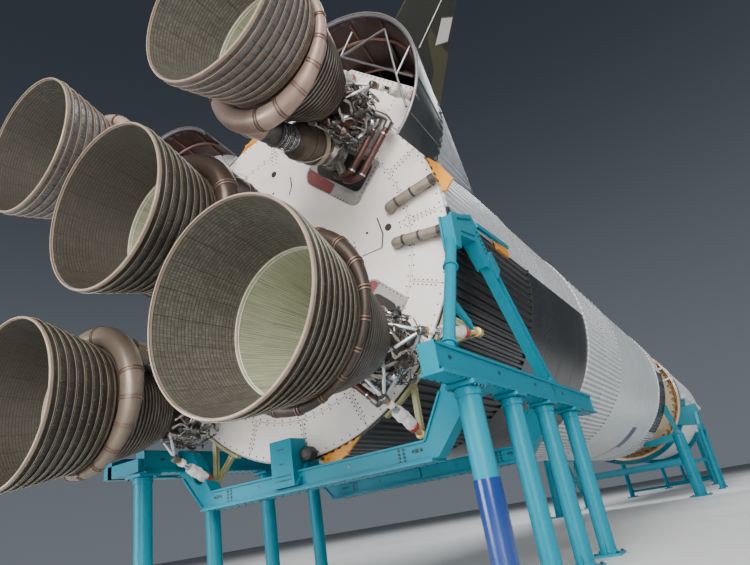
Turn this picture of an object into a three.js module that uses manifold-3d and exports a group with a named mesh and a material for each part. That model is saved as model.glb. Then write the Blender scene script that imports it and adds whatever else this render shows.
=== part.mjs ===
// Three-stage moon rocket lying on museum cradles, a 1:10 model.
// Millimetres. +X nose, +Y left, +Z up. Stations are real inches along the axis, counted from the
// engine plane of the first stage and turned into model millimetres by `inch`.
import * as THREE from 'three';
import { mergeVertices } from 'three/addons/utils/BufferGeometryUtils.js';
import Module from 'manifold-3d';

const wasm = await Module();
wasm.setup();

// driving dimensions
const inch = 2.54;
const axisHeight = 845;
const middleX = 5417.3;
const stageRadius = 503;
const joint = 0.3;
const hullSides = 36;

const station = {
  shieldAft: 275.2,
  shieldFore: 284.2,
  fuelAft: 888,
  intertankAft: 1605,
  oxidizerAft: 2290,
  skirtAft: 3607,
  skirtFore: 3914,
  secondRim: 4828.5,
  secondFrame: 5052,
  secondFore: 6756,
  thirdAft: 7334,
  thirdFore: 8635,
  adapterFore: 9488,
  serviceFore: 9882,
  commandFore: 10226,
};

const gimbalX = 254;
const engineRadius = 462.3;
const engineSide = engineRadius * Math.SQRT1_2;
const mountFace = gimbalX + 16;

// geometry helpers
function solid(geometry) {
  const plain = geometry.clone();
  plain.deleteAttribute('normal');
  plain.deleteAttribute('uv');
  const merged = mergeVertices(plain, 1e-3);
  const position = merged.attributes.position.array;
  const source = merged.index.array;
  const kept = [];
  let volume = 0;
  const at = (i) => new THREE.Vector3(position[3 * i], position[3 * i + 1], position[3 * i + 2]);
  for (let i = 0; i < source.length; i += 3) {
    const [a, b, c] = [source[i], source[i + 1], source[i + 2]];
    if (a === b || b === c || c === a) continue;
    kept.push(a, b, c);
    volume += at(a).dot(at(b).cross(at(c)));
  }
  if (volume < 0) {
    for (let i = 0; i < kept.length; i += 3) {
      [kept[i + 1], kept[i + 2]] = [kept[i + 2], kept[i + 1]];
    }
  }
  const mesh = new wasm.Mesh({
    numProp: 3,
    vertProperties: new Float32Array(position),
    triVerts: new Uint32Array(kept),
  });
  return new wasm.Manifold(mesh);
}

function unite(solids) {
  return solids.reduce((sum, next) => sum.add(next));
}

function lathe(profile, sides) {
  const points = profile.map(([x, r]) => new THREE.Vector2(r, x));
  const geometry = new THREE.LatheGeometry(points, sides);
  geometry.rotateZ(-Math.PI / 2);
  return geometry;
}

function spun(profile, sides, y = 0, z = 0) {
  const geometry = lathe(profile, sides);
  geometry.translate(0, y, z);
  return solid(geometry);
}

function block(x0, x1, y0, y1, z0, z1) {
  const geometry = new THREE.BoxGeometry(x1 - x0, y1 - y0, z1 - z0);
  geometry.translate((x0 + x1) / 2, (y0 + y1) / 2, (z0 + z1) / 2);
  return solid(geometry);
}

function along(geometry, from, to) {
  const start = new THREE.Vector3(...from);
  const step = new THREE.Vector3(...to).sub(start);
  const turn = new THREE.Quaternion().setFromUnitVectors(new THREE.Vector3(1, 0, 0), step.normalize());
  geometry.applyQuaternion(turn);
  geometry.translate(start.x, start.y, start.z);
  return solid(geometry);
}

function span(from, to) {
  return new THREE.Vector3(...to).distanceTo(new THREE.Vector3(...from));
}

function rod(from, to, radius, sides = 8) {
  const length = span(from, to);
  return along(lathe([[0, 0], [0, radius], [length, radius], [length, 0]], sides), from, to);
}

function turned(profile, from, to, sides) {
  return along(lathe(profile, sides), from, to);
}

// a square bar whose upright side stays in the plane of the bar and the Z axis
function bar(from, to, wide, tall) {
  const start = new THREE.Vector3(...from);
  const ahead = new THREE.Vector3(...to).sub(start);
  const length = ahead.length();
  ahead.normalize();
  const guide = Math.abs(ahead.z) > 0.95 ? new THREE.Vector3(1, 0, 0) : new THREE.Vector3(0, 0, 1);
  const across = guide.clone().cross(ahead).normalize();
  const upright = ahead.clone().cross(across);
  const geometry = new THREE.BoxGeometry(length, wide, tall);
  geometry.translate(length / 2, 0, 0);
  const matrix = new THREE.Matrix4().makeBasis(ahead, across, upright);
  geometry.applyMatrix4(matrix);
  geometry.translate(start.x, start.y, start.z);
  return solid(geometry);
}

// outline in (y, z), drawn along X
function crossPlate(outline, x0, x1, hole) {
  const shape = new THREE.Shape(outline.map(([y, z]) => new THREE.Vector2(y, z)));
  if (hole) shape.holes.push(new THREE.Path(hole.map(([y, z]) => new THREE.Vector2(y, z))));
  const geometry = new THREE.ExtrudeGeometry(shape, { depth: x1 - x0, bevelEnabled: false });
  const matrix = new THREE.Matrix4().makeBasis(
    new THREE.Vector3(0, 1, 0),
    new THREE.Vector3(0, 0, 1),
    new THREE.Vector3(1, 0, 0),
  );
  geometry.applyMatrix4(matrix);
  geometry.translate(x0, 0, 0);
  return solid(geometry);
}

// outline in (x, z), drawn along Y
function sidePlate(outline, y0, y1) {
  const shape = new THREE.Shape(outline.map(([x, z]) => new THREE.Vector2(x, z)));
  const geometry = new THREE.ExtrudeGeometry(shape, { depth: y1 - y0, bevelEnabled: false });
  const matrix = new THREE.Matrix4().makeBasis(
    new THREE.Vector3(1, 0, 0),
    new THREE.Vector3(0, 0, 1),
    new THREE.Vector3(0, -1, 0),
  );
  geometry.applyMatrix4(matrix);
  geometry.translate(0, y1, 0);
  return solid(geometry);
}

function arcPoints(radius, fromDegrees, toDegrees, steps, y = 0, z = 0) {
  const points = [];
  for (let i = 0; i <= steps; i += 1) {
    const angle = THREE.MathUtils.degToRad(fromDegrees + ((toDegrees - fromDegrees) * i) / steps);
    points.push([y + radius * Math.cos(angle), z + radius * Math.sin(angle)]);
  }
  return points;
}

function arcPlate(inner, outer, fromDegrees, toDegrees, steps, x0, x1) {
  const outside = arcPoints(outer, fromDegrees, toDegrees, steps);
  const inside = arcPoints(inner, toDegrees, fromDegrees, steps);
  return crossPlate([...outside, ...inside], x0, x1);
}

// outline of a corrugated shell, crest and valley flats in turn
function corrugation(valley, crest, count) {
  const points = [];
  const pitch = (2 * Math.PI) / count;
  const marks = [[-0.34, valley], [-0.2, crest], [0.2, crest], [0.34, valley]];
  for (let i = 0; i < count; i += 1) {
    for (const [share, radius] of marks) {
      const angle = (i + share) * pitch;
      points.push([radius * Math.cos(angle), radius * Math.sin(angle)]);
    }
  }
  return points;
}

const root = new THREE.Group();
root.name = 'moon_rocket';

function addPart(name, shape, colour, roughness = 0.6, metalness = 0.1) {
  const mesh = shape.getMesh();
  const geometry = new THREE.BufferGeometry();
  const position = Float32Array.from(mesh.vertProperties);
  for (let i = 0; i < position.length; i += 3) {
    position[i] -= middleX;
    position[i + 2] += axisHeight;
  }
  geometry.setAttribute('position', new THREE.BufferAttribute(position, 3));
  geometry.setIndex(Array.from(mesh.triVerts));
  geometry.computeVertexNormals();
  const material = new THREE.MeshStandardMaterial({ color: colour, roughness, metalness });
  material.flatShading = true;
  const piece = new THREE.Mesh(geometry, material);
  piece.name = name;
  root.add(piece);
}

const colours = {
  bell: 0x4a443e,
  chamber: 0x6a625a,
  cross: 0x8c8c8c,
  strut: 0x8a8a5c,
  rod: 0xdcdcd4,
  shield: 0xe8e2dc,
  black: 0x1c1c1e,
  white: 0xe6e6e4,
  fairing: 0x4c4f50,
  cone: 0xe6d9b8,
  smallBell: 0x9a9288,
  silver: 0xc4c6c8,
  teal: 0x0f7f96,
};

// first-stage engines: y and z give the quadrant, the fixed middle engine has neither
const engines = [
  { key: 'upper_left', y: 1, z: 1, swings: true },
  { key: 'upper_right', y: -1, z: 1, swings: true },
  { key: 'lower_left', y: 1, z: -1, swings: true },
  { key: 'lower_right', y: -1, z: -1, swings: true },
  { key: 'middle', y: 0, z: 0, swings: false },
];

const bellSides = 18;
const ribCount = 7;

const bellJoint = 152;

function extensionProfile() {
  const points = [[bellJoint, 55.3], [182, 63], [215.4, 69.9], [215.4, 71.5], [212, 71.5]];
  for (let i = 0; i < ribCount; i += 1) {
    const tip = 208 - i * 8.3;
    const wall = 70.1 - 0.215 * (208 - tip) - 0.0006 * (208 - tip) ** 2;
    points.push([tip + 4, wall + 0.4], [tip, wall + 2.6]);
  }
  points.push([bellJoint + 2, 57.6], [bellJoint, 57.6], [bellJoint, 55.3]);
  return points.map(([t, r]) => [gimbalX - t * inch, r * inch]);
}

const chamberEnd = bellJoint - joint / inch;
const chamberProfile = [
  [16, 0], [16, 9], [20, 20], [38, 20.5], [46, 18], [70, 32], [104, 46], [132, 54], [chamberEnd, 57.8],
  [chamberEnd, 55.3], [104, 43], [70, 29], [46, 15.2], [46, 0],
].map(([t, r]) => [gimbalX - t * inch, r * inch]);

// collector ring round the bell, thick where the turbine exhaust enters and thin opposite
function exhaustCollector(facing) {
  const around = 13;
  const sides = 5;
  const position = [];
  const index = [];
  for (let i = 0; i < around; i += 1) {
    const turn = (2 * Math.PI * i) / around;
    const tube = (6.8 + 4.0 * Math.cos(turn)) * inch;
    const ring = 55.6 * inch + tube;
    const centreX = gimbalX - 150 * inch + tube;
    for (let j = 0; j < sides; j += 1) {
      const roll = (2 * Math.PI * (j + 0.5)) / sides;
      const radius = ring + tube * Math.cos(roll);
      position.push(
        centreX + tube * Math.sin(roll),
        radius * Math.cos(facing + turn),
        radius * Math.sin(facing + turn),
      );
      const a = i * sides + j;
      const b = i * sides + ((j + 1) % sides);
      const c = ((i + 1) % around) * sides + j;
      const d = ((i + 1) % around) * sides + ((j + 1) % sides);
      index.push(a, b, d, a, d, c);
    }
  }
  const geometry = new THREE.BufferGeometry();
  geometry.setAttribute('position', new THREE.BufferAttribute(new Float32Array(position), 3));
  geometry.setIndex(index);
  return solid(geometry);
}

const pumpProfile = [
  [5, 0], [5, 10], [12, 16.5], [27, 16.5], [30, 13], [42, 13], [42, 0],
].map(([t, r]) => [gimbalX - t * inch, r * inch]);

// heat exchanger, bellows and exhaust pipe in one turned line, from the turbine back to the collector
const exhaustProfile = [
  [0, 0], [0, 14], [4, 18.5], [36, 19.5], [42, 13], [62, 13], [98, 11], [98, 0],
].map(([t, r]) => [t * inch, r * inch]);

// gimbal bearings: a block held between two ears of the mount, across Y, and two of the engine, across Z
const bearing = { half: 9, earIn: 9.3, earOut: 15, earHalf: 4.5, reach: 6 };
const smallBearing = { half: 6.5, earIn: 6.8, earOut: 11, earHalf: 2.4, reach: 4.5 };

function earsAcrossY(size, x0, x1, y, z) {
  return unite([-1, 1].map((side) => {
    const edges = [y + side * size.earIn, y + side * size.earOut];
    return block(x0, x1, Math.min(...edges), Math.max(...edges), z - size.earHalf, z + size.earHalf);
  }));
}

function earsAcrossZ(size, x0, x1, y, z) {
  return unite([-1, 1].map((side) => {
    const edges = [z + side * size.earIn, z + side * size.earOut];
    return block(x0, x1, y - size.earHalf, y + size.earHalf, Math.min(...edges), Math.max(...edges));
  }));
}

function gimbalBlock(size, x, y, z) {
  const h = size.half;
  return block(x - h, x + h, y - h, y + h, z - h, z + h);
}

// thrust-vector actuators: each runs from the outrigger's pad forward and outward to its frame
const actuator = { padBack: -102, padOut: 118, frameAhead: 30, frameOut: 185, gap: 2.5 };
const actuatorLength = Math.hypot(actuator.frameAhead - actuator.padBack, actuator.frameOut - actuator.padOut);
const actuatorX = (actuator.frameAhead - actuator.padBack) / actuatorLength;
const actuatorOut = (actuator.frameOut - actuator.padOut) / actuatorLength;

// point on the actuator line, s millimetres from the pad; way is the outward axis, 'y' or 'z'
function onActuator(engine, way, s) {
  const x = gimbalX + actuator.padBack + actuatorX * s;
  const out = actuator.padOut + actuatorOut * s;
  const y = engine.y * engineSide + (way === 'y' ? engine.y * out : 0);
  const z = engine.z * engineSide + (way === 'z' ? engine.z * out : 0);
  return [x, y, z];
}

// directions on the shield for an engine: inward to the pump's side, and across it
function pumpSide(engine) {
  const angle = engine.swings ? Math.atan2(-engine.z, -engine.y) : Math.PI * 0.75;
  return { angle, inward: [Math.cos(angle), Math.sin(angle)] };
}

function outrigger(engine, way) {
  const at = (x, out) => [
    gimbalX + x,
    engine.y * (engineSide + (way === 'y' ? out : 0)),
    engine.z * (engineSide + (way === 'z' ? out : 0)),
  ];
  const arm = bar(at(-118, 30), at(-116, 108), 20, 20);
  const pad = rod(onActuator(engine, way, -16), onActuator(engine, way, 0), 10, 6);
  return unite([arm, pad]);
}

const rodProfile = [[0, 0], [0, 9], [7, 6.5], [74, 6.5], [74, 0]];
const barrelProfile = [[54, 0], [54, 7.4], [0, 7.4], [0, 15], [74, 15], [84, 7], [108, 7], [108, 0]];

function actuatorFrame(engine) {
  const pieces = [];
  const middle = THREE.MathUtils.radToDeg(Math.atan2(engine.z, engine.y));
  pieces.push(arcPlate(509.5, 517, middle - 17, middle + 17, 4, 281, 296));
  for (const way of ['y', 'z']) {
    pieces.push(turned(barrelProfile, onActuator(engine, way, 42), onActuator(engine, way, 148), 7));
    const tip = onActuator(engine, way, 146);
    pieces.push(rod([tip[0] - 8, tip[1], tip[2]], [tip[0] + 9, tip[1], tip[2]], 11, 6));
    for (const share of [1, 0.8]) {
      const near = engineSide * share;
      const far = Math.sqrt(513 * 513 - near * near);
      const [footY, footZ] = way === 'z' ? [near, far] : [far, near];
      const foot = [287, engine.y * footY, engine.z * footZ];
      pieces.push(rod([tip[0] + 1, tip[1], tip[2]], foot, 6, 4));
    }
  }
  return unite(pieces);
}

for (const engine of engines) {
  const y = engine.y * engineSide;
  const z = engine.z * engineSide;
  const extension = spun(extensionProfile(), bellSides, y, z);
  addPart(`nozzle_extension_${engine.key}`, extension, colours.bell, 0.7, 0.3);

  const { angle: facing, inward } = pumpSide(engine);
  const pumpY = y + inward[0] * 42 * inch;
  const pumpZ = z + inward[1] * 42 * inch;
  const beside = (back, out, across) => [
    gimbalX - back * inch,
    y + (inward[0] * out - inward[1] * across) * inch,
    z + (inward[1] * out + inward[0] * across) * inch,
  ];
  const pieces = [
    spun(chamberProfile, 15, y, z),
    exhaustCollector(facing).translate([0, y, z]),
    spun(pumpProfile, 8, pumpY, pumpZ),
    bar([gimbalX - 66, y, z], [gimbalX - 66, pumpY, pumpZ], 26, 40),
    turned(exhaustProfile, beside(34, 45, 0), beside(134, 65, 0), 8),
    rod(beside(11, -8, -17), beside(11, 57, -17), 5.5 * inch, 6),
    rod(beside(11, -6, -36), beside(11, 57, -36), 5.5 * inch, 6),
    rod(beside(24, 4, 0), beside(14, 0, -41), 8 * inch, 6),
    rod(beside(19, 42, 0), beside(13, 57, -40), 5.5 * inch, 6),
  ];
  if (engine.swings) {
    pieces.push(earsAcrossZ(bearing, gimbalX - 17 * inch, gimbalX + bearing.reach, y, z));
    pieces.push(outrigger(engine, 'y'), outrigger(engine, 'z'));
    addPart(`gimbal_cross_${engine.key}`, gimbalBlock(bearing, gimbalX, y, z), colours.cross, 0.4, 0.8);
    addPart(`actuator_frame_${engine.key}`, actuatorFrame(engine), colours.strut, 0.5, 0.3);
    for (const [way, motion] of [['z', 'pitch'], ['y', 'yaw']]) {
      const piece = turned(rodProfile, onActuator(engine, way, actuator.gap), onActuator(engine, way, 80), 6);
      addPart(`actuator_rod_${motion}_${engine.key}`, piece, colours.rod, 0.5, 0.2);
    }
  } else {
    pieces.push(rod([gimbalX - 17 * inch, y, z], [mountFace - joint, y, z], 16, 10));
  }
  addPart(`thrust_chamber_${engine.key}`, unite(pieces), colours.chamber, 0.6, 0.4);
}

// first stage hull
const shieldDisc = spun([[station.shieldAft, 0], [station.shieldAft, stageRadius], [station.shieldFore, stageRadius],
  [station.shieldFore, 0]], hullSides);
const shieldPieces = [shieldDisc];
const coaming = [[30, -43], [72, -43], [72, 34], [64, 43], [30, 43]];
const shieldPipes = [
  { y: -370, z: 50, rimY: -505, rimZ: 72 },
  { y: -370, z: -51, rimY: -498, rimZ: -69 },
  { y: 370, z: 50, rimY: 505, rimZ: 72 },
  { y: 370, z: -51, rimY: 498, rimZ: -69 },
];
for (const engine of engines) {
  const y = engine.y * engineSide;
  const z = engine.z * engineSide;
  const { inward } = pumpSide(engine);
  const corner = ([out, across]) => [
    y + (inward[0] * out - inward[1] * across) * inch,
    z + (inward[1] * out + inward[0] * across) * inch,
  ];
  shieldPieces.push(crossPlate(coaming.map(corner), station.shieldAft - 4, station.shieldAft + 1));
  shieldPieces.push(rod([mountFace, y, z], [station.shieldAft + 2, y, z], 26, 8));
  if (engine.swings) shieldPieces.push(earsAcrossY(bearing, gimbalX - bearing.reach, mountFace + 2, y, z));
}
for (const { y, z, rimY, rimZ } of shieldPipes) {
  shieldPieces.push(rod([255, y, z], [255, rimY, rimZ], 13, 8));
  shieldPieces.push(rod([262, y * 1.015, z], [station.shieldAft + 1, y * 1.015, z], 12, 8));
  const [standY, standZ] = [rimY * 0.94, rimZ * 0.95];
  shieldPieces.push(rod([262, standY, standZ], [station.shieldAft + 1, standY, standZ], 8, 6));
}
addPart('base_heat_shield', unite(shieldPieces), colours.shield, 0.7, 0);

const ridges = 36;
const ridged = corrugation(stageRadius - 1, stageRadius + 5, ridges);
const thrustStructure = crossPlate(ridged, station.shieldFore + joint, station.fuelAft);
addPart('thrust_structure', thrustStructure, colours.black, 0.4, 0.1);
addPart('intertank', crossPlate(ridged, station.intertankAft + joint, station.oxidizerAft), colours.white);
const skirtBore = arcPoints(stageRadius - 9, 0, 350, 35).reverse();
const forwardSkirt = crossPlate(ridged, station.skirtAft + joint, station.skirtFore, skirtBore);
addPart('forward_skirt', forwardSkirt, colours.white);

const fuelTank = spun([[station.fuelAft + joint, 0], [station.fuelAft + joint, stageRadius],
  [station.intertankAft, stageRadius], [station.intertankAft, 0]], hullSides);
addPart('fuel_tank', fuelTank, colours.white, 0.3, 0.1);

const domeRadius = stageRadius - 11;
const dome = [0, 26, 50, 70, 90].map((degrees) => {
  const angle = THREE.MathUtils.degToRad(degrees);
  return [station.skirtAft + 20 + 255 * Math.sin(angle), Math.max(0, domeRadius * Math.cos(angle))];
});
dome[4][1] = 0;
const oxidizerTank = spun([[station.oxidizerAft + joint, 0], [station.oxidizerAft + joint, stageRadius],
  [station.skirtAft, stageRadius], [station.skirtAft, domeRadius], ...dome], hullSides);
addPart('oxidizer_tank', oxidizerTank, colours.white, 0.3, 0.1);

// engine fairings with fins on the two upper quadrants
const fairing = {
  aft: 123, fore: 860, aftRadius: 255, foreRadius: 175, aftCentre: 462.3, foreCentre: 330, wall: 4,
};

function fairingCone(shrink, extra, angle) {
  const { aft, fore, aftRadius, foreRadius, aftCentre, foreCentre } = fairing;
  const sides = 32;
  const ends = [[aft - extra, -extra], [fore + extra, extra]];
  const position = [];
  const index = [];
  for (const [x] of ends) {
    const share = (x - aft) / (fore - aft);
    const radius = aftRadius + (foreRadius - aftRadius) * share - shrink;
    const centre = aftCentre + (foreCentre - aftCentre) * share;
    position.push(x, centre * Math.cos(angle), centre * Math.sin(angle));
    for (let i = 0; i < sides; i += 1) {
      const turn = (2 * Math.PI * i) / sides;
      position.push(
        x,
        centre * Math.cos(angle) + radius * Math.cos(angle + turn),
        centre * Math.sin(angle) + radius * Math.sin(angle + turn),
      );
    }
  }
  const start = sides + 1;
  for (let i = 0; i < sides; i += 1) {
    const next = (i + 1) % sides;
    const [a, b, c, d] = [1 + i, 1 + next, start + 1 + i, start + 1 + next];
    index.push(0, b, a, start, c, d, a, b, d, a, d, c);
  }
  const geometry = new THREE.BufferGeometry();
  geometry.setAttribute('position', new THREE.BufferAttribute(new Float32Array(position), 3));
  geometry.setIndex(index);
  return solid(geometry);
}

function finPlate(angle) {
  const outline = [[186, 691], [186, 960], [332, 960], [559, 595], [551, 577], [200, 684]];
  const thick = 7;
  const shape = new THREE.Shape(outline.map(([x, r]) => new THREE.Vector2(x, r)));
  const geometry = new THREE.ExtrudeGeometry(shape, { depth: 2 * thick, bevelEnabled: false });
  geometry.translate(0, 0, -thick);
  const outward = new THREE.Vector3(0, Math.cos(angle), Math.sin(angle));
  const ahead = new THREE.Vector3(1, 0, 0);
  const side = ahead.clone().cross(outward);
  geometry.applyMatrix4(new THREE.Matrix4().makeBasis(ahead, outward, side));
  return solid(geometry);
}

for (const [key, degrees] of [['left', 45], ['right', 135]]) {
  const angle = THREE.MathUtils.degToRad(degrees);
  const hull = spun([[0, 0], [0, 509], [1000, 509], [1000, 0]], 72);
  const shell = fairingCone(0, 0, angle).add(finPlate(angle)).subtract(fairingCone(fairing.wall, 1, angle));
  addPart(`fairing_${key}`, shell.subtract(hull), colours.fairing, 0.5, 0.5);
}

// second stage: rim and skirt with the thrust cone inside, then the tank
const secondAft = spun([[4767.6, 0], [4767.6, 274], [5040, 478], [5040, 490], [station.secondRim, 490],
  [station.secondRim, 508], [station.secondRim + 14, 508], [station.secondRim + 14, stageRadius],
  [station.secondFrame, stageRadius], [station.secondFrame, 0]], hullSides);
const smallGimbal = 4737;
const smallFace = smallGimbal + 12;
const smallRadius = 266.7;
const smallSide = smallRadius * Math.SQRT1_2;

const secondPieces = [secondAft];
for (const engine of engines) {
  const y = engine.y * smallSide;
  const z = engine.z * smallSide;
  secondPieces.push(rod([smallFace, y, z], [engine.swings ? 4880 : 4770, y, z], 17, 8));
  if (engine.swings) {
    secondPieces.push(earsAcrossY(smallBearing, smallGimbal - smallBearing.reach, smallFace + 2, y, z));
  }
}
addPart('second_stage_thrust_cone', unite(secondPieces), colours.cone);

const smallBellProfile = [
  [7, 0], [7, 10], [22, 10.5], [28, 7.5], [52, 22], [85, 33.5], [125, 40.4],
  [125, 39.2], [52, 20.5], [28, 5.5], [28, 0],
].map(([t, r]) => [smallGimbal - t * inch, r * inch]);

for (const engine of engines) {
  const y = engine.y * smallSide;
  const z = engine.z * smallSide;
  const facing = engine.swings ? Math.atan2(-engine.z, -engine.y) : Math.PI * 0.75;
  const pumpY = y + Math.cos(facing) * 48;
  const pumpZ = z + Math.sin(facing) * 48;
  const pieces = [
    spun(smallBellProfile, 12, y, z),
    rod([smallGimbal - 24, pumpY, pumpZ], [smallGimbal - 92, pumpY, pumpZ], 17, 6),
    bar([smallGimbal - 44, y, z], [smallGimbal - 44, pumpY, pumpZ], 14, 24),
  ];
  if (engine.swings) {
    pieces.push(earsAcrossZ(smallBearing, smallGimbal - 19, smallGimbal + smallBearing.reach, y, z));
    addPart(`second_cross_${engine.key}`, gimbalBlock(smallBearing, smallGimbal, y, z), colours.cross, 0.4, 0.8);
  } else {
    pieces.push(rod([smallGimbal - 19, y, z], [smallFace - joint, y, z], 10, 8));
  }
  addPart(`second_engine_${engine.key}`, unite(pieces), colours.smallBell, 0.5, 0.6);
}

const secondTank = spun([[station.secondFrame + joint, 0], [station.secondFrame + joint, stageRadius],
  [station.secondFore, stageRadius], [station.secondFore, 0]], hullSides);
const raceway = block(station.secondFrame + 30, station.secondFore - 60, -532, -490, -60, -32);
addPart('second_stage_tank', secondTank.add(raceway), colours.white, 0.4, 0);

// upper parts
const noseRadius = 195.6;
const stack = [
  { name: 'interstage_cone', colour: colours.white, profile: [[station.secondFore + joint, 0],
    [station.secondFore + joint, stageRadius], [station.thirdAft, 330], [station.thirdAft, 0]] },
  { name: 'third_stage', colour: colours.white, profile: [[station.thirdAft + joint, 0],
    [station.thirdAft + joint, 330], [station.thirdFore, 330], [station.thirdFore, 0]] },
  { name: 'lander_adapter', colour: colours.white, profile: [[station.thirdFore + joint, 0],
    [station.thirdFore + joint, 330], [station.adapterFore, noseRadius], [station.adapterFore, 0]] },
];
for (const { name, colour, profile } of stack) {
  addPart(name, spun(profile, 32), colour, 0.5, 0);
}

const service = [spun([[station.adapterFore + joint, 0], [station.adapterFore + joint, noseRadius],
  [station.serviceFore, noseRadius], [station.serviceFore, 0]], 32)];
for (const [y, z] of [[1, 1], [1, -1], [-1, 1], [-1, -1]]) {
  const near = [9730, y * 134, z * 134];
  const far = [9730, y * 146, z * 146];
  service.push(along(new THREE.BoxGeometry(24, 60, 60), near, far));
  service.push(rod([9700, y * 144, z * 144], [9760, y * 144, z * 144], 7, 6));
}
addPart('service_module', unite(service), colours.silver, 0.35, 0.7);

const command = spun([[station.serviceFore + joint, 0], [station.serviceFore + joint, 188], [9898, 195],
  [10168, 40], [station.commandFore, 26], [station.commandFore, 0]], 24);
addPart('command_module', command, colours.silver, 0.3, 0.6);

const towerPieces = [];
const towerFeet = [10231, 17];
const towerTop = [10536, 20];
const towerBrace = [10383, 18.5];
towerPieces.push(rod([station.commandFore + joint, 0, 0], [10238, 0, 0], 30, 8));
for (const [y, z] of [[1, 1], [1, -1], [-1, 1], [-1, -1]]) {
  const foot = [towerFeet[0], y * towerFeet[1], z * towerFeet[1]];
  const top = [towerTop[0], y * towerTop[1], z * towerTop[1]];
  towerPieces.push(rod(foot, top, 4, 4));
  const [nearY, nearZ] = [y * towerBrace[1], z * towerBrace[1]];
  const far = y * z > 0 ? [-nearY, nearZ] : [nearY, -nearZ];
  towerPieces.push(rod([towerBrace[0], nearY, nearZ], [towerBrace[0], ...far], 3, 4));
}
towerPieces.push(spun([[10531, 0], [10531, 42], [10560, 33], [11040, 33], [11090, 24], [11127.7, 4],
  [11127.7, 0]], 16));
addPart('escape_tower', unite(towerPieces), colours.white, 0.5, 0);

// cradles: floor is at z = -axisHeight below the axis
const floor = -axisHeight;

function column(x, y, top, radius, sides) {
  const plate = radius * 1.7;
  return unite([
    rod([x, y, floor + 4], [x, y, top], radius, sides),
    block(x - plate, x + plate, y - plate, y + plate, floor, floor + 6),
  ]);
}

// aft cradle: a long beam each side on four columns, the left one inboard with a stub beam under its post
const hipY = 528;
const beamTop = -407;
const beamBottom = -460;
const aftSides = [
  { away: -1, y: -528, start: -28, postX: 62, finX: 118 },
  { away: 1, y: 410, start: 102, postX: 110, finX: 148 },
];
const aftColumns = [
  { x: 110, radius: 23 },
  { x: 340, radius: 21 },
  { x: 570, radius: 21 },
  { x: 805, radius: 21 },
];
const aftPieces = [];
for (const { away, y, start, postX, finX } of aftSides) {
  aftPieces.push(block(start, 1057, y - 17, y + 17, beamBottom, beamTop));
  aftPieces.push(block(start, 1057, y - 24, y + 24, beamBottom - 5, beamBottom + 1));
  for (const { x, radius } of aftColumns) aftPieces.push(column(x, y, beamBottom + 5, radius, 8));
  const hip = away * hipY;
  const apexEdges = [hip - away * 19.4, hip + away * 14];
  aftPieces.push(rod([postX, hip, beamTop - 5], [206, hip, -128], 12.5, 10));
  aftPieces.push(sidePlate([[196, -150], [206, -62], [262, -46], [338, -18], [404, -112], [384, -150], [330, -96],
    [236, -112], [222, -150]], Math.min(...apexEdges), Math.max(...apexEdges)));
  aftPieces.push(bar([388, hip, -118], [690, y, -432], 26, 40));
  aftPieces.push(sidePlate([[finX, -300], [finX + 22, -288], [204, -322], [206, -342]], hip - 4, hip + 4));
}
aftPieces.push(block(88, 340, hipY - 17, hipY + 17, beamBottom, beamTop));
aftPieces.push(block(88, 150, 400, hipY, beamBottom, beamTop - 20));
aftPieces.push(block(300, 340, 400, hipY, beamBottom, beamTop - 20));
const yoke = [
  [-528, -420], [-484, -407], [-438, -409], [-418, -440], [-362, -532], [284, -532], [350, -428],
  [376, -409], [420, -407], [420, -452], [390, -486], [318, -574], [-388, -574], [-478, -474], [-528, -460],
];
const relief = rod(onActuator(engines[2], 'z', 40), onActuator(engines[2], 'z', 165), 24, 8);
aftPieces.push(crossPlate(yoke, 220, 262).subtract(relief));
aftPieces.push(crossPlate(yoke, 784, 826));
for (const x of [241, 805]) aftPieces.push(block(x - 34, x + 34, -380, 310, -579, -573));
aftPieces.push(block(205, 262, -14, 54, -566, -456));
aftPieces.push(block(784, 826, -34, 34, -566, -508.2));
aftPieces.push(block(256, 312, -10, 50, -566, -508.6));
addPart('cradle_first_aft', unite(aftPieces), colours.teal, 0.5, 0.2);

// first stage's front frame: pinned hubs outside the rim, two arms each to pads on the skirt, thick tube legs
const frontHub = { y: 482, z: -422, x0: 3862, x1: 3906, legRadius: 40, seat: stageRadius + 5.9 };

function frontCradle() {
  const { y: hubY, z: hubZ, x0, x1, legRadius } = frontHub;
  const middle = (x0 + x1) / 2;
  const pieces = [bar([middle, -hubY, -604], [middle, hubY, -604], 30, 44)];
  for (const side of [-1, 1]) {
    const arm = (points, inset) => {
      const outline = points.map(([y, z]) => [side * y, z]);
      return crossPlate(side > 0 ? outline : outline.reverse(), x0 + inset, x1 - inset);
    };
    const hull = rod([x0 - 10, 0, 0], [x1 + 10, 0, 0], frontHub.seat, 72);
    pieces.push(rod([x0 - 6, side * hubY, hubZ], [x1 + 6, side * hubY, hubZ], 34, 10));
    pieces.push(arm([[500, -430], [472, -404], [446, -262], [462, -200], [474, -208], [504, -404]], 10).subtract(hull));
    pieces.push(arm([[470, -404], [500, -440], [470, -462], [300, -470], [236, -464], [262, -436]], 6).subtract(hull));
    pieces.push(rod([middle, side * hubY, hubZ], [middle, side * (hubY + 15), floor + 4], legRadius, 10));
    const footY = side * (hubY + 15);
    pieces.push(block(middle - 70, middle + 70, footY - 70, footY + 70, floor, floor + 8));
  }
  return unite(pieces);
}

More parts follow.
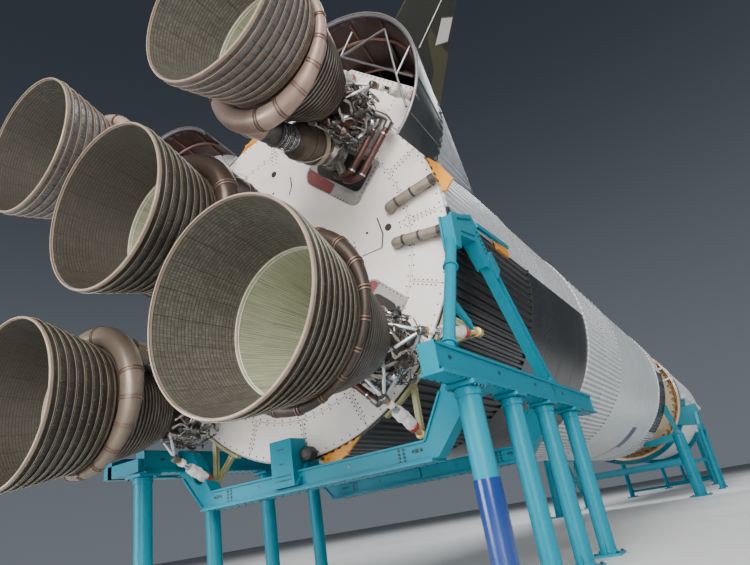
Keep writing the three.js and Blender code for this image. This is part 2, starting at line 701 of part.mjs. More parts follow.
// a saddle under the hull on two legs; the hub form carries a half ring on pinned hubs and braced frames
function saddleCradle(x0, x1, hullRadius, spread, steps) {
  const inner = (hullRadius + joint) / Math.cos((Math.PI * 110) / 360 / steps);
  const pieces = [arcPlate(inner, hullRadius + 42, -145, -35, steps, x0, x1)];
  const middle = (x0 + x1) / 2;
  for (const side of [-1, 1]) {
    const y = side * spread;
    const top = -Math.sqrt((hullRadius + 4) ** 2 - (spread - 20) ** 2);
    pieces.push(block(middle - 24, middle + 24, y - 20, y + 20, floor + 4, top));
    pieces.push(block(middle - 110, middle + 110, y - 40, y + 40, floor, floor + 10));
    pieces.push(bar([middle - 92, y, floor + 8], [middle - 14, y, top - 70], 16, 22));
    pieces.push(bar([middle + 92, y, floor + 8], [middle + 14, y, top - 70], 16, 22));
  }
  pieces.push(bar([middle, -spread, floor + 60], [middle, spread, floor + 60], 20, 24));
  return unite(pieces);
}

function ringCradle(x0, x1, hullRadius, spread, reach) {
  const inner = hullRadius + joint;
  const pieces = [
    arcPlate(inner, hullRadius + 42, -170, -10, 16, x0, x1),
    arcPlate(inner, hullRadius + 14, -190, 10, 20, x0 + 8, x0 + 20),
  ];
  const middle = (x0 + x1) / 2;
  for (const side of [-1, 1]) {
    const y = side * spread;
    const wedge = [[side * 480, -330], [side * 493, -150], [side * 603, -150], [side * 603, -330]];
    pieces.push(crossPlate(side > 0 ? wedge : wedge.reverse(), x0 - 8, x1 + 8).subtract(
      rod([x0 - 20, 0, 0], [x1 + 20, 0, 0], inner, hullSides)));
    pieces.push(block(middle - reach - 22, middle + reach + 22, y - 16, y + 16, -372, -330));
    for (const way of [-1, 1]) {
      const x = middle + way * reach;
      pieces.push(column(x, y, -350, 15, 6));
      pieces.push(bar([x - way * 6, y, -346], [middle, y, -196], 22, 28));
      pieces.push(bar([x, y, floor + 60], [middle - way * reach, y, -372], 12, 16));
    }
  }
  pieces.push(bar([x1 + 16, -spread, -604], [x1 + 16, spread, -604], 20, 30));
  return unite(pieces);
}

addPart('cradle_first_fore', frontCradle(), colours.teal, 0.5, 0.2);
addPart('cradle_second_aft', ringCradle(4846, 4900, stageRadius, 583, 170), colours.teal, 0.5, 0.2);
addPart('cradle_second_fore', saddleCradle(6480, 6540, stageRadius, 430, 12), colours.teal, 0.5, 0.2);
addPart('cradle_third', saddleCradle(8380, 8430, 330, 290, 16), colours.teal, 0.5, 0.2);
addPart('cradle_service', saddleCradle(9580, 9630, noseRadius, 175, 12), colours.teal, 0.5, 0.2);

export default root;
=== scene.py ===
import math
import random

import bpy
import bmesh
import numpy as np
from mathutils import Matrix, Vector, noise


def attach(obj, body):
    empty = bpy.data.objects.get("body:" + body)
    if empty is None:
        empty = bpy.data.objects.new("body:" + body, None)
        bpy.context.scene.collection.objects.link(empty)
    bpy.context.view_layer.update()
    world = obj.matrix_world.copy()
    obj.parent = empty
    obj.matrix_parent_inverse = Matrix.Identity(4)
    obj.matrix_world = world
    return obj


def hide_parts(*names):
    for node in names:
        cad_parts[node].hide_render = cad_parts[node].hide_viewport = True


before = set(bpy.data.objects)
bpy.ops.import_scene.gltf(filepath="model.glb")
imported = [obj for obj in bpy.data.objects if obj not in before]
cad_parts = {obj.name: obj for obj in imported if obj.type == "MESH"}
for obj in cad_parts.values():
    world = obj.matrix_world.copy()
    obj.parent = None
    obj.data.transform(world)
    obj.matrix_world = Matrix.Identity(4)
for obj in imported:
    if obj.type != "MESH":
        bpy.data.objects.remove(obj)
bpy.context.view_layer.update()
scene = bpy.context.scene
print("frame loaded")

# camera at floor level, behind the engines and to their right
viewPoint = {"at": (-6.3078, -0.9410, 0.1651), "turn": (1.969497, 0.155913, -0.988650),
             "lens": 27.667, "sensor": 36, "near": 0.02, "far": 200}
cameraData = bpy.data.cameras.new("floor_camera")
cameraData.lens = viewPoint["lens"]
cameraData.sensor_width = viewPoint["sensor"]
cameraData.clip_start = viewPoint["near"]
cameraData.clip_end = viewPoint["far"]
camera = bpy.data.objects.new("floor_camera", cameraData)
camera.location = viewPoint["at"]
camera.rotation_euler = viewPoint["turn"]
scene.collection.objects.link(camera)
scene.camera = camera

# soft studio light: panels behind the camera, along the right side and overhead, and one
# aimed into the bells
studio = {
    "horizon": (0.26, 0.29, 0.33), "zenith": (0.055, 0.066, 0.085), "worldPower": 0.56,
    "rise": (-0.05, 0.75),
    "panels": [
        ("key_panel", (-9.3, -1.3, 2.8), (-5.0, 0.1, 0.8), 2.6, 430, (1.0, 0.96, 0.93)),
        ("bell_panel", (-8.4, -2.2, 0.9), (-5.3, -0.2, 0.7), 1.1, 80, (1.0, 0.98, 0.92)),
        ("side_panel", (-1.5, -6.5, 3.0), (-1.5, 0.0, 0.9), 3.6, 150, (0.90, 0.96, 1.0)),
        ("top_panel", (0.0, 0.5, 5.5), (0.0, 0.0, 0.8), 5.0, 480, (0.94, 0.98, 1.0)),
        ("low_panel", (-7.6, 1.8, 0.5), (-5.0, 0.2, 0.9), 1.6, 100, (0.9, 0.95, 1.0)),
    ],
}
for label, at, aim, size, power, tone in studio["panels"]:
    panelData = bpy.data.lights.new(label, "AREA")
    panelData.size = size
    panelData.energy = power
    panelData.color = tone
    panel = bpy.data.objects.new(label, panelData)
    panel.location = at
    panel.rotation_euler = (Vector(aim) - Vector(at)).to_track_quat("-Z", "Y").to_euler()
    scene.collection.objects.link(panel)
print("camera and lights set")

# shader node helpers


def addNode(tree, kind, feeds=None, **settings):
    made = tree.nodes.new("ShaderNode" + kind)
    for key, value in settings.items():
        setattr(made, key, value)
    for socket, value in (feeds or {}).items():
        target = made.inputs[socket]
        if isinstance(value, bpy.types.NodeSocket):
            tree.links.new(value, target)
        else:
            target.default_value = value
    return made


def calc(tree, operation, first, second=0.0, third=0.0):
    feeds = {0: first, 1: second}
    if operation == "MULTIPLY_ADD":
        feeds[2] = third
    return addNode(tree, "Math", feeds, operation=operation).outputs[0]


def blendColour(tree, factor, first, second):
    made = addNode(tree, "Mix", {0: factor}, data_type="RGBA")
    for slotIndex, value in ((6, first), (7, second)):
        if isinstance(value, bpy.types.NodeSocket):
            tree.links.new(value, made.inputs[slotIndex])
        else:
            made.inputs[slotIndex].default_value = (*value[:3], 1)
    return made.outputs[2]


def fade(tree, value, low, high):
    made = addNode(tree, "MapRange", {0: value, 1: low, 2: high}, interpolation_type="SMOOTHSTEP")
    return made.outputs[0]


def startGroup(name, inputs, outputs):
    tree = bpy.data.node_groups.new(name, "ShaderNodeTree")
    for label, kind, value in inputs:
        socket = tree.interface.new_socket(label, in_out="INPUT", socket_type="NodeSocket" + kind)
        if value is not None:
            socket.default_value = value
    for label, kind in outputs:
        tree.interface.new_socket(label, in_out="OUTPUT", socket_type="NodeSocket" + kind)
    entry = tree.nodes.new("NodeGroupInput").outputs
    leave = tree.nodes.new("NodeGroupOutput").inputs
    return tree, entry, leave


def useGroup(tree, source, **feeds):
    made = tree.nodes.new("ShaderNodeGroup")
    made.node_tree = source
    for label, value in feeds.items():
        target = made.inputs[label]
        if isinstance(value, bpy.types.NodeSocket):
            tree.links.new(value, target)
        elif target.type == "RGBA":
            target.default_value = (*value[:3], 1)
        else:
            target.default_value = value
    return made.outputs


# the room's light grows darker upwards, so that gloss paint shows a bright lower edge
world = bpy.data.worlds.new("studio_world")
world.use_nodes = True
skyCoords = addNode(world.node_tree, "TexCoord").outputs["Generated"]
sky = addNode(world.node_tree, "SeparateXYZ", {0: skyCoords})
skyRise = fade(world.node_tree, sky.outputs[2], *studio["rise"])
world.node_tree.links.new(
    blendColour(world.node_tree, skyRise, studio["horizon"], studio["zenith"]),
    world.node_tree.nodes["Background"].inputs["Color"])
world.node_tree.nodes["Background"].inputs["Strength"].default_value = studio["worldPower"]
scene.world = world

# stains and cloudy change of tone, with streaks
mottleGroup, entry, leave = startGroup(
    "mottle", [("Vector", "Vector", None), ("Colour", "Color", None), ("Stain", "Color", None),
     ("Scale", "Float", 8.0), ("Amount", "Float", 0.5)],
    [("Colour", "Color"), ("Value", "Float")])
cloud = addNode(mottleGroup, "TexNoise", {"Vector": entry["Vector"], "Scale": entry["Scale"],
                                          "Detail": 7.0, "Roughness": 0.62})
wide = addNode(mottleGroup, "TexNoise", {"Vector": entry["Vector"],
                                         "Scale": calc(mottleGroup, "MULTIPLY", entry["Scale"],
                                                       0.23), "Detail": 3.0})
level = calc(mottleGroup, "ADD", calc(mottleGroup, "MULTIPLY", cloud.outputs[0], 0.6),
             calc(mottleGroup, "MULTIPLY", wide.outputs[0], 0.4))
level = fade(mottleGroup, level, 0.36, 0.66)
mottleGroup.links.new(level, leave["Value"])
mottleGroup.links.new(
    blendColour(mottleGroup, calc(mottleGroup, "MULTIPLY", level, entry["Amount"]), entry["Colour"],
                entry["Stain"]),
    leave["Colour"])

# thin lines at even steps of u and v
lineGroup, entry, leave = startGroup(
    "even_lines",
    [("Vector", "Vector", None), ("Count U", "Float", 40.0), ("Count V", "Float", 40.0),
     ("Width", "Float", 0.08)],
    [("Lines", "Float")])
parts = addNode(lineGroup, "SeparateXYZ", {0: entry["Vector"]})
masks = []
for axisIndex, countName in ((0, "Count U"), (1, "Count V")):
    saw = calc(lineGroup, "FRACT", calc(lineGroup, "MULTIPLY", parts.outputs[axisIndex],
                                        entry[countName]))
    near = calc(lineGroup, "MULTIPLY", calc(lineGroup, "ABSOLUTE",
                                            calc(lineGroup, "SUBTRACT", saw, 0.5)), 2.0)
    edge = calc(lineGroup, "SUBTRACT", 1.0, entry["Width"])
    mask = fade(lineGroup, near, calc(lineGroup, "SUBTRACT", edge, 0.06), edge)
    masks.append(calc(lineGroup, "MULTIPLY", mask, calc(lineGroup, "GREATER_THAN", entry[countName],
                                                        0.5)))
lineGroup.links.new(calc(lineGroup, "MAXIMUM", masks[0], masks[1]), leave["Lines"])

# paint rubbed off along raised edges
wearGroup, entry, leave = startGroup(
    "edge_wear", [("Vector", "Vector", None), ("Colour", "Color", None), ("Bare", "Color", None),
     ("Amount", "Float", 0.5), ("Scale", "Float", 60.0)],
    [("Colour", "Color")])
shape = addNode(wearGroup, "NewGeometry")
rub = addNode(wearGroup, "TexNoise", {"Vector": entry["Vector"], "Scale": entry["Scale"],
                                      "Detail": 5.0})
raised = fade(wearGroup, shape.outputs["Pointiness"], 0.51, 0.58)
mask = calc(wearGroup, "MULTIPLY", calc(wearGroup, "MULTIPLY", raised,
                                        fade(wearGroup, rub.outputs[0], 0.42, 0.6)),
            entry["Amount"])
wearGroup.links.new(blendColour(wearGroup, mask, entry["Colour"], entry["Bare"]), leave["Colour"])

# fine grain for bump
grainGroup, entry, leave = startGroup(
    "fine_grain", [("Vector", "Vector", None), ("Scale", "Float", 200.0)], [("Height", "Float")])
fine = addNode(grainGroup, "TexNoise", {"Vector": entry["Vector"], "Scale": entry["Scale"],
                                        "Detail": 4.0})
coarse = addNode(grainGroup, "TexNoise", {"Vector": entry["Vector"],
                                          "Scale": calc(grainGroup, "MULTIPLY", entry["Scale"],
                                                        0.15), "Detail": 2.0})
grainGroup.links.new(calc(grainGroup, "ADD", calc(grainGroup, "MULTIPLY", fine.outputs[0], 0.4),
                          coarse.outputs[0]),
                     leave["Height"])


shading = {"coatRoughness": 0.12, "bump": 0.8, "leastRough": 0.05}


def makeFinish(name, colour, stain, rough=0.5, metal=0.0, amount=0.6, scale=9.0, grain=150.0,
               depth=0.0004, spread=0.12, bare=None, wear=0.5, coat=0.0, gloss=0.5, pattern=None):
    material = bpy.data.materials.new(name)
    material.use_nodes = True
    tree = material.node_tree
    shader = tree.nodes["Principled BSDF"]
    coords = addNode(tree, "TexCoord").outputs
    mixed = useGroup(tree, mottleGroup, Vector=coords["Object"], Colour=colour, Stain=stain,
                     Scale=scale, Amount=amount)
    tone = mixed["Colour"]
    height = useGroup(tree, grainGroup, Vector=coords["Object"], Scale=grain)["Height"]
    height = calc(tree, "MULTIPLY", height, depth)
    if pattern:
        tone, height = pattern(tree, coords, tone, height)
    if bare:
        tone = useGroup(tree, wearGroup, Vector=coords["Object"], Colour=tone, Bare=bare,
                        Amount=wear)["Colour"]
    tree.links.new(tone, shader.inputs["Base Color"])
    roughness = addNode(tree, "MapRange", {0: mixed["Value"],
                                           3: max(shading["leastRough"], rough - spread),
                                           4: min(1, rough + spread)})
    tree.links.new(roughness.outputs[0], shader.inputs["Roughness"])
    bump = addNode(tree, "Bump", {"Strength": shading["bump"], "Distance": 1.0, "Height": height})
    tree.links.new(bump.outputs[0], shader.inputs["Normal"])
    shader.inputs["Metallic"].default_value = metal
    shader.inputs["Coat Weight"].default_value = coat
    shader.inputs["Coat Roughness"].default_value = shading["coatRoughness"]
    shader.inputs["Specular IOR Level"].default_value = gloss
    return material


def lined(countU, countV, width, ink, rise=0.0, strength=0.8):
    def pattern(tree, coords, tone, height):
        lines = useGroup(tree, lineGroup, Vector=coords["UV"],
                         **{"Count U": countU, "Count V": countV,
                                                                  "Width": width})["Lines"]
        tone = blendColour(tree, calc(tree, "MULTIPLY", lines, strength), tone, ink)
        return tone, calc(tree, "MULTIPLY_ADD", lines, rise, height)
    return pattern


def tiled(countU, countV, ink, spread):
    # every small plate gets a tone of its own
    def pattern(tree, coords, tone, height):
        place = addNode(tree, "VectorMath", {0: coords["UV"], 1: (countU, countV, 0)},
                        operation="MULTIPLY").outputs[0]
        cell = addNode(tree, "VectorMath", {0: place}, operation="FLOOR").outputs[0]
        chance = addNode(tree, "TexWhiteNoise", {"Vector": cell},
                         noise_dimensions="3D").outputs["Value"]
        return blendColour(tree, calc(tree, "MULTIPLY", chance, spread), tone, ink), height
    return pattern


def striated(countU, countV, ink, strength, depth=0.0):
    # long thin streaks, as on brazed tubes or a skin wiped along its length
    def pattern(tree, coords, tone, height):
        place = addNode(tree, "VectorMath", {0: coords["UV"], 1: (countU, countV, 0)},
                        operation="MULTIPLY").outputs[0]
        streak = addNode(tree, "TexNoise", {"Vector": place, "Scale": 1.0, "Detail": 3.0,
                                            "Roughness": 0.7})
        mask = fade(tree, streak.outputs[0], 0.42, 0.62)
        return (blendColour(tree, calc(tree, "MULTIPLY", mask, strength), tone, ink),
                calc(tree, "MULTIPLY_ADD", mask, depth, height))
    return pattern


def layered(*patterns):
    def pattern(tree, coords, tone, height):
        for each in patterns:
            tone, height = each(tree, coords, tone, height)
        return tone, height
    return pattern


print("shader groups made")

# geometry helpers, in model millimetres before the shift into the row's frame
inch = 2.54
middleX = 5417.3
axisHeight = 845.0


def newForm():
    return {"points": [], "faces": [], "finish": [], "uvs": []}


def addPatch(form, points, faces, finish=0, uvs=None):
    start = len(form["points"])
    form["points"].extend([tuple(p) for p in points])
    for index, face in enumerate(faces):
        form["faces"].append([start + corner for corner in face])
        form["finish"].append(finish[index] if isinstance(finish, list) else finish)
        form["uvs"].append(uvs[index] if uvs else [(0.0, 0.0)] * len(face))


def axes(ahead):
    ahead = Vector(ahead).normalized()
    if abs(ahead.x) > 0.999:
        return ahead, Vector((0, 1, 0)), Vector((0, 0, 1)) if ahead.x > 0 else Vector((0, 0, -1))
    guide = Vector((0, 0, 1)) if abs(ahead.z) < 0.95 else Vector((1, 0, 0))
    across = guide.cross(ahead).normalized()
    return ahead, across, ahead.cross(across)


def turned(form, profile, sides=32, finish=0, start=(0, 0, 0), end=(1, 0, 0), arc=None):
    # profile: (distance, radius) along the line from start to end
    origin = Vector(start)
    ahead, across, upright = axes(Vector(end) - origin)
    closed = profile[0] == profile[-1]
    rows = profile[:-1] if closed else profile
    steps = sides if arc is None else sides + 1
    points, index, run, travel = [], [], [0.0], 0.0

    def angleOf(i):
        if arc is None:
            return 2 * math.pi * i / sides
        return math.radians(arc[0] + (arc[1] - arc[0]) * i / sides)

    for row, (distance, radius) in enumerate(rows):
        if row:
            travel += math.hypot(distance - rows[row - 1][0], radius - rows[row - 1][1]) / 1000
            run.append(travel)
        if radius < 1e-6:
            index.append([len(points)] * steps)
            points.append(origin + ahead * distance)
            continue
        ring = []
        for i in range(steps):
            angle = angleOf(i)
            ring.append(len(points))
            points.append(origin + ahead * distance + (across * math.cos(angle)
                                                       + upright * math.sin(angle)) * radius)
        index.append(ring)
    if closed:
        index.append(index[0])
        run.append(travel + math.hypot(profile[-1][0] - rows[-1][0],
                                       profile[-1][1] - rows[-1][1]) / 1000)
    faces, uvs, marks = [], [], []
    for row in range(len(index) - 1):
        for i in range(sides):
            j = (i + 1) % steps
            corners = [(index[row][i], i, row), (index[row][j], i + 1, row),
                       (index[row + 1][j], i + 1, row + 1), (index[row + 1][i], i, row + 1)]
            seen, face, uv = set(), [], []
            for point, u, v in corners:
                if point not in seen:
                    seen.add(point)
                    face.append(point)
                    uv.append((u / sides, run[v]))
            if len(face) > 2:
                faces.append(face)
                uvs.append(uv)
                marks.append(finish[row] if isinstance(finish, list) else finish)
    addPatch(form, points, faces, marks, uvs)


def spun(form, profile, sides=96, finish=0):
    # turned about the stage's own axis
    turned(form, profile, sides, finish)


def sweep(form, path, radius, sides=8, finish=0, closed=False):
    spots = [Vector(p) for p in path]
    count = len(spots)
    radii = list(radius) if isinstance(radius, (list, tuple)) else [radius] * count
    tangents = []
    for i in range(count):
        if closed:
            tangents.append((spots[(i + 1) % count] - spots[i - 1]).normalized())
        else:
            tangents.append((spots[min(i + 1, count - 1)] - spots[max(i - 1, 0)]).normalized())
    side = axes(tangents[0])[1]
    points, travel, runs = [], 0.0, []
    for i in range(count):
        side = (side - tangents[i] * side.dot(tangents[i])).normalized()
        other = tangents[i].cross(side)
        travel += (spots[i] - spots[i - 1]).length / 1000 if i else 0.0
        runs.append(travel)
        for j in range(sides):
            angle = 2 * math.pi * j / sides
            points.append(spots[i] + (side * math.cos(angle) + other * math.sin(angle)) * radii[i])
    faces, uvs = [], []
    for i in range(count if closed else count - 1):
        k = (i + 1) % count
        for j in range(sides):
            m = (j + 1) % sides
            faces.append([i * sides + j, i * sides + m, k * sides + m, k * sides + j])
            end = runs[k] if k else runs[i] + 0.01
            uvs.append([(j / sides, runs[i]), ((j + 1) / sides, runs[i]), ((j + 1) / sides, end),
                        (j / sides, end)])
    if not closed:
        for row, flip in ((0, True), (count - 1, False)):
            cap = [row * sides + j for j in range(sides)]
            faces.append(cap[::-1] if flip else cap)
            uvs.append([(0.0, 0.0)] * sides)
    addPatch(form, points, faces, finish, uvs)


def rounded(path, radius, steps=5):
    # a path whose corners are drawn as short arcs
    spots = [Vector(p) for p in path]
    result = [spots[0]]
    for i in range(1, len(spots) - 1):
        before, here, after = spots[i - 1], spots[i], spots[i + 1]
        reach = min(radius, (here - before).length * 0.45, (after - here).length * 0.45)
        first = here + (before - here).normalized() * reach
        last = here + (after - here).normalized() * reach
        for step in range(steps + 1):
            t = step / steps
            result.append(first * (1 - t) ** 2 + here * 2 * t * (1 - t) + last * t ** 2)
    result.append(spots[-1])
    return result


def flowing(path, steps=5):
    # a smooth curve through all the points of a path
    spots = [Vector(p) for p in path]
    spots = [spots[0] * 2 - spots[1]] + spots + [spots[-1] * 2 - spots[-2]]
    result = []
    for i in range(1, len(spots) - 2):
        a, b, c, d = spots[i - 1:i + 3]
        for step in range(steps):
            t = step / steps
            result.append(0.5 * (2 * b + (c - a) * t + (2 * a - 5 * b + 4 * c - d) * t * t
                                 + (3 * b - a - 3 * c + d) * t ** 3))
    result.append(spots[-2])
    return result


def prism(form, outline, shift, finish=0):
    shift = Vector(shift)
    low = [Vector(p) for p in outline]
    count = len(low)
    points = low + [p + shift for p in low]
    faces = [list(range(count))[::-1], list(range(count, 2 * count))]
    uvs = [[(0.0, 0.0)] * count, [(0.0, 0.0)] * count]
    travel = 0.0
    for i in range(count):
        j = (i + 1) % count
        faces.append([i, j, count + j, count + i])
        width = (low[j] - low[i]).length / 1000
        deep = shift.length / 1000
        uvs.append([(travel, 0), (travel + width, 0), (travel + width, deep), (travel, deep)])
        travel += width
    addPatch(form, points, faces, finish, uvs)


def crossPlate(form, outline, x0, x1, finish=0):
    prism(form, [(x0, y, z) for y, z in outline], (x1 - x0, 0, 0), finish)


def sidePlate(form, outline, y0, y1, finish=0):
    prism(form, [(x, y0, z) for x, z in outline], (0, y1 - y0, 0), finish)


def block(form, x0, x1, y0, y1, z0, z1, finish=0):
    crossPlate(form, [(y0, z0), (y1, z0), (y1, z1), (y0, z1)], x0, x1, finish)


def beam(form, start, end, wide, tall, finish=0, web=None, flange=None):
    # a bar from start to end; with web and flange it gets the section of an I
    across, upright = axes(Vector(end) - Vector(start))[1:]
    w, h = wide / 2, tall / 2
    section = [(-w, -h), (w, -h), (w, h), (-w, h)]
    if web:
        t, f = web / 2, flange
        section = [(-w, -h), (w, -h), (w, f - h), (t, f - h), (t, h - f), (w, h - f), (w, h),
                   (-w, h), (-w, h - f), (-t, h - f), (-t, f - h), (-w, f - h)]
    outline = [Vector(start) + across * a + upright * b for a, b in section]
    prism(form, outline, Vector(end) - Vector(start), finish)


def arcPlate(form, inner, outer, fromAngle, toAngle, steps, x0, x1, finish=0):
    profile = [(x0, inner), (x0, outer), (x1, outer), (x1, inner), (x0, inner)]
    start = len(form["points"])
    turned(form, profile, steps, finish, arc=(fromAngle, toAngle))
    ring = steps + 1
    for corner, flip in ((0, True), (steps, False)):
        cap = [start + row * ring + corner for row in range(4)]
        form["faces"].append(cap[::-1] if flip else cap)
        form["finish"].append(finish)
        form["uvs"].append([(0.0, 0.0)] * 4)


def moved(form, change):
    copy = {part: list(values) for part, values in form.items()}
    copy["points"] = [tuple(change(p)) for p in form["points"]]
    return copy


def rowPoints(spots):
    # from model millimetres to metres in the row's frame
    points = np.array([tuple(p) for p in spots], float)
    points[:, 0] -= middleX
    points[:, 2] += axisHeight
    return (points / 1000).tolist()


def placed(name, mesh):
    piece = bpy.data.objects.new(name, mesh)
    scene.collection.objects.link(piece)
    return piece


meshing = {"weld": 2e-6, "segments": 1, "bevelAngle": 40}


def finishPiece(form, name, body, finishes, replaces=(), angle=34, bevel=0.0):
    mesh = bpy.data.meshes.new(name)
    mesh.from_pydata(rowPoints(form["points"]), [], form["faces"])
    layer = mesh.uv_layers.new(name="UVMap")
    layer.data.foreach_set("uv", np.array([c for face in form["uvs"] for c in face], float).ravel())
    for material in finishes:
        mesh.materials.append(material)
    mesh.polygons.foreach_set("material_index", form["finish"])
    work = bmesh.new()
    work.from_mesh(mesh)
    bmesh.ops.remove_doubles(work, verts=work.verts, dist=meshing["weld"])
    bmesh.ops.recalc_face_normals(work, faces=work.faces)
    work.to_mesh(mesh)
    work.free()
    mesh.polygons.foreach_set("use_smooth", [True] * len(mesh.polygons))
    mesh.set_sharp_from_angle(angle=math.radians(angle))
    piece = placed(name, mesh)
    if bevel:
        rounding = piece.modifiers.new("soft_edges", "BEVEL")
        rounding.width = bevel / 1000
        rounding.segments = meshing["segments"]
        rounding.limit_method = "ANGLE"
        rounding.angle_limit = math.radians(meshing["bevelAngle"])
        rounding.harden_normals = True
    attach(piece, body)
    if replaces:
        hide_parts(*replaces)


# geometry nodes: a small many-sided stud on every point, turned to the point's own direction
studTree = bpy.data.node_groups.new("studs", "GeometryNodeTree")
studTree.interface.new_socket("Geometry", in_out="INPUT", socket_type="NodeSocketGeometry")
studInputs = {}
for label, kind, value in (("Sides", "Int", 6), ("Radius", "Float", 0.002),
                           ("Height", "Float", 0.002), ("Finish", "Material", None)):
    socket = studTree.interface.new_socket(label, in_out="INPUT", socket_type="NodeSocket" + kind)
    if value is not None:
        socket.default_value = value
    studInputs[label] = socket.identifier
studTree.interface.new_socket("Geometry", in_out="OUTPUT", socket_type="NodeSocketGeometry")
studEntry = studTree.nodes.new("NodeGroupInput")
studLeave = studTree.nodes.new("NodeGroupOutput")
studShape = studTree.nodes.new("GeometryNodeMeshCylinder")
studFields = {}
for label, kind in (("aim", "FLOAT_VECTOR"), ("size", "FLOAT")):
    field = studTree.nodes.new("GeometryNodeInputNamedAttribute")
    field.data_type = kind
    field.inputs["Name"].default_value = label
    studFields[label] = field.outputs["Attribute"]
studTurn = studTree.nodes.new("FunctionNodeAlignRotationToVector")
studTurn.axis = "Z"
studPlace = studTree.nodes.new("GeometryNodeInstanceOnPoints")
studReal = studTree.nodes.new("GeometryNodeRealizeInstances")
studFinish = studTree.nodes.new("GeometryNodeSetMaterial")
for source, target in (
        (studEntry.outputs["Sides"], studShape.inputs["Vertices"]),
        (studEntry.outputs["Radius"], studShape.inputs["Radius"]),
        (studEntry.outputs["Height"], studShape.inputs["Depth"]),
        (studFields["aim"], studTurn.inputs["Vector"]),
        (studEntry.outputs["Geometry"], studPlace.inputs["Points"]),
        (studShape.outputs["Mesh"], studPlace.inputs["Instance"]),
        (studTurn.outputs[0], studPlace.inputs["Rotation"]),
        (studFields["size"], studPlace.inputs["Scale"]),
        (studPlace.outputs[0], studReal.inputs[0]),
        (studReal.outputs[0], studFinish.inputs["Geometry"]),
        (studEntry.outputs["Finish"], studFinish.inputs["Material"]),
        (studFinish.outputs[0], studLeave.inputs[0])):
    studTree.links.new(source, target)


def addStuds(spots, name, body, finish, radius=2.0, height=2.5, sides=6):
    # spots: (point, direction) or (point, direction, size) in model millimetres
    seed = bpy.data.meshes.new(name + "_points")
    seed.from_pydata(rowPoints([s[0] for s in spots]), [], [])
    aim = seed.attributes.new("aim", "FLOAT_VECTOR", "POINT")
    aim.data.foreach_set("vector", np.array([tuple(s[1]) for s in spots], float).ravel())
    size = seed.attributes.new("size", "FLOAT", "POINT")
    size.data.foreach_set("value", [s[2] if len(s) > 2 else 1.0 for s in spots])
    maker = placed(name + "_maker", seed)
    modifier = maker.modifiers.new("studs", "NODES")
    modifier.node_group = studTree
    modifier[studInputs["Sides"]] = sides
    modifier[studInputs["Radius"]] = radius / 1000
    modifier[studInputs["Height"]] = height / 1000
    modifier[studInputs["Finish"]] = finish
    graph = bpy.context.evaluated_depsgraph_get()
    mesh = bpy.data.meshes.new_from_object(maker.evaluated_get(graph))
    mesh.name = name
    bpy.data.objects.remove(maker)
    piece = placed(name, mesh)
    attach(piece, body)


def ringTurns(count, shift=0.0):
    # cosine and sine at even steps round a circle
    for i in range(count):
        angle = 2 * math.pi * (i + shift) / count
        yield math.cos(angle), math.sin(angle)


def hoop(form, x0, x1, low, high, sides, finish=0):
    # a flat ring round the stage's axis
    spun(form, [(x0, low), (x0, high), (x1, high), (x1, low), (x0, low)], sides, finish)


def disc(form, radius, height, sides, finish, start, end):
    turned(form, [(0, 0), (0, radius), (height, radius), (height, 0)], sides, finish, start, end)


def octagon(y, z, half, cut):
    low, high = cut - half, half - cut
    return [(y + a, z + b) for a, b in ((-half, low), (low, -half), (high, -half), (half, low),
                                        (half, high), (high, half), (low, half), (-half, high))]


print("helpers ready")

# finishes
bellOutside = makeFinish("bell_outside", (0.21, 0.225, 0.235), (0.105, 0.085, 0.074), 0.45, 0.45,
                         0.8, 9, pattern=layered(striated(220, 26, (0.08, 0.066, 0.058), 0.5),
                                         lined(24, 0, 0.02, (0.05, 0.045, 0.04), -0.0006)))
bellFace = layered(tiled(200, 150, (0.035, 0.03, 0.023), 0.45),
                   striated(260, 12, (0.045, 0.039, 0.03), 0.4),
                   lined(0, 150, 0.2, (0.016, 0.014, 0.010), -0.0003, 0.7),
                   lined(200, 0, 0.16, (0.016, 0.014, 0.010), -0.0002, 0.4),
                   lined(22, 0, 0.025, (0.016, 0.014, 0.010), -0.0003, 0.4))
bellInside = makeFinish("bell_inside", (0.15, 0.145, 0.12), (0.078, 0.07, 0.055), 0.55, 0.25, 0.6,
                        7, pattern=bellFace)
# a darker copy of the bell's inside finish: painted shade
bellInsideShade = makeFinish("bell_inside_painted_shade", (0.078, 0.07, 0.055), (0.04, 0.035, 0.027), 0.55, 0.25, 0.6,
                     7, pattern=bellFace)
bellShaded = makeFinish("bell_shaded", (0.075, 0.071, 0.066), (0.038, 0.031, 0.026), 0.45, 0.45,
                        0.8, 9, pattern=layered(striated(220, 26, (0.03, 0.025, 0.021), 0.5),
                                        lined(24, 0, 0.02, (0.025, 0.021, 0.018), -0.0006)))
ribFace = makeFinish("rib_face", (0.12, 0.098, 0.086), (0.055, 0.042, 0.036), 0.5, 0.4, 0.8, 24,
                     pattern=striated(300, 20, (0.24, 0.18, 0.145), 0.4))
ribFaceShaded = makeFinish("rib_face_shaded", (0.034, 0.03, 0.025), (0.02, 0.017, 0.014), 0.5, 0.4,
                           0.8, 24, pattern=striated(300, 20, (0.075, 0.062, 0.046), 0.35))
# pale rounded rib edges: painted highlight where the edges catch the light, with a dimmer copy for
# the shaded bells
ribEdgeHighlightShaded = makeFinish("rib_edge_highlight_shaded", (0.34, 0.31, 0.22), (0.10, 0.085, 0.06), 0.5, 0.2,
                           0.8, 20)
ribEdgeHighlight = makeFinish("rib_edge_painted_highlight", (0.46, 0.37, 0.29), (0.24, 0.165, 0.125), 0.5, 0.2, 0.8, 20)
rimTan = makeFinish("rim_tan", (0.31, 0.24, 0.18), (0.17, 0.12, 0.09), 0.5, 0.3, 0.7, 22)
tubeInside = makeFinish("tube_inside", (0.48, 0.52, 0.37), (0.33, 0.33, 0.22), 0.4, 0.25, 0.6, 7,
                        pattern=layered(striated(520, 5, (0.17, 0.18, 0.12), 0.75, -0.0003),
                                        lined(178, 0, 0.3, (0.20, 0.21, 0.15), -0.0005, 0.45)))
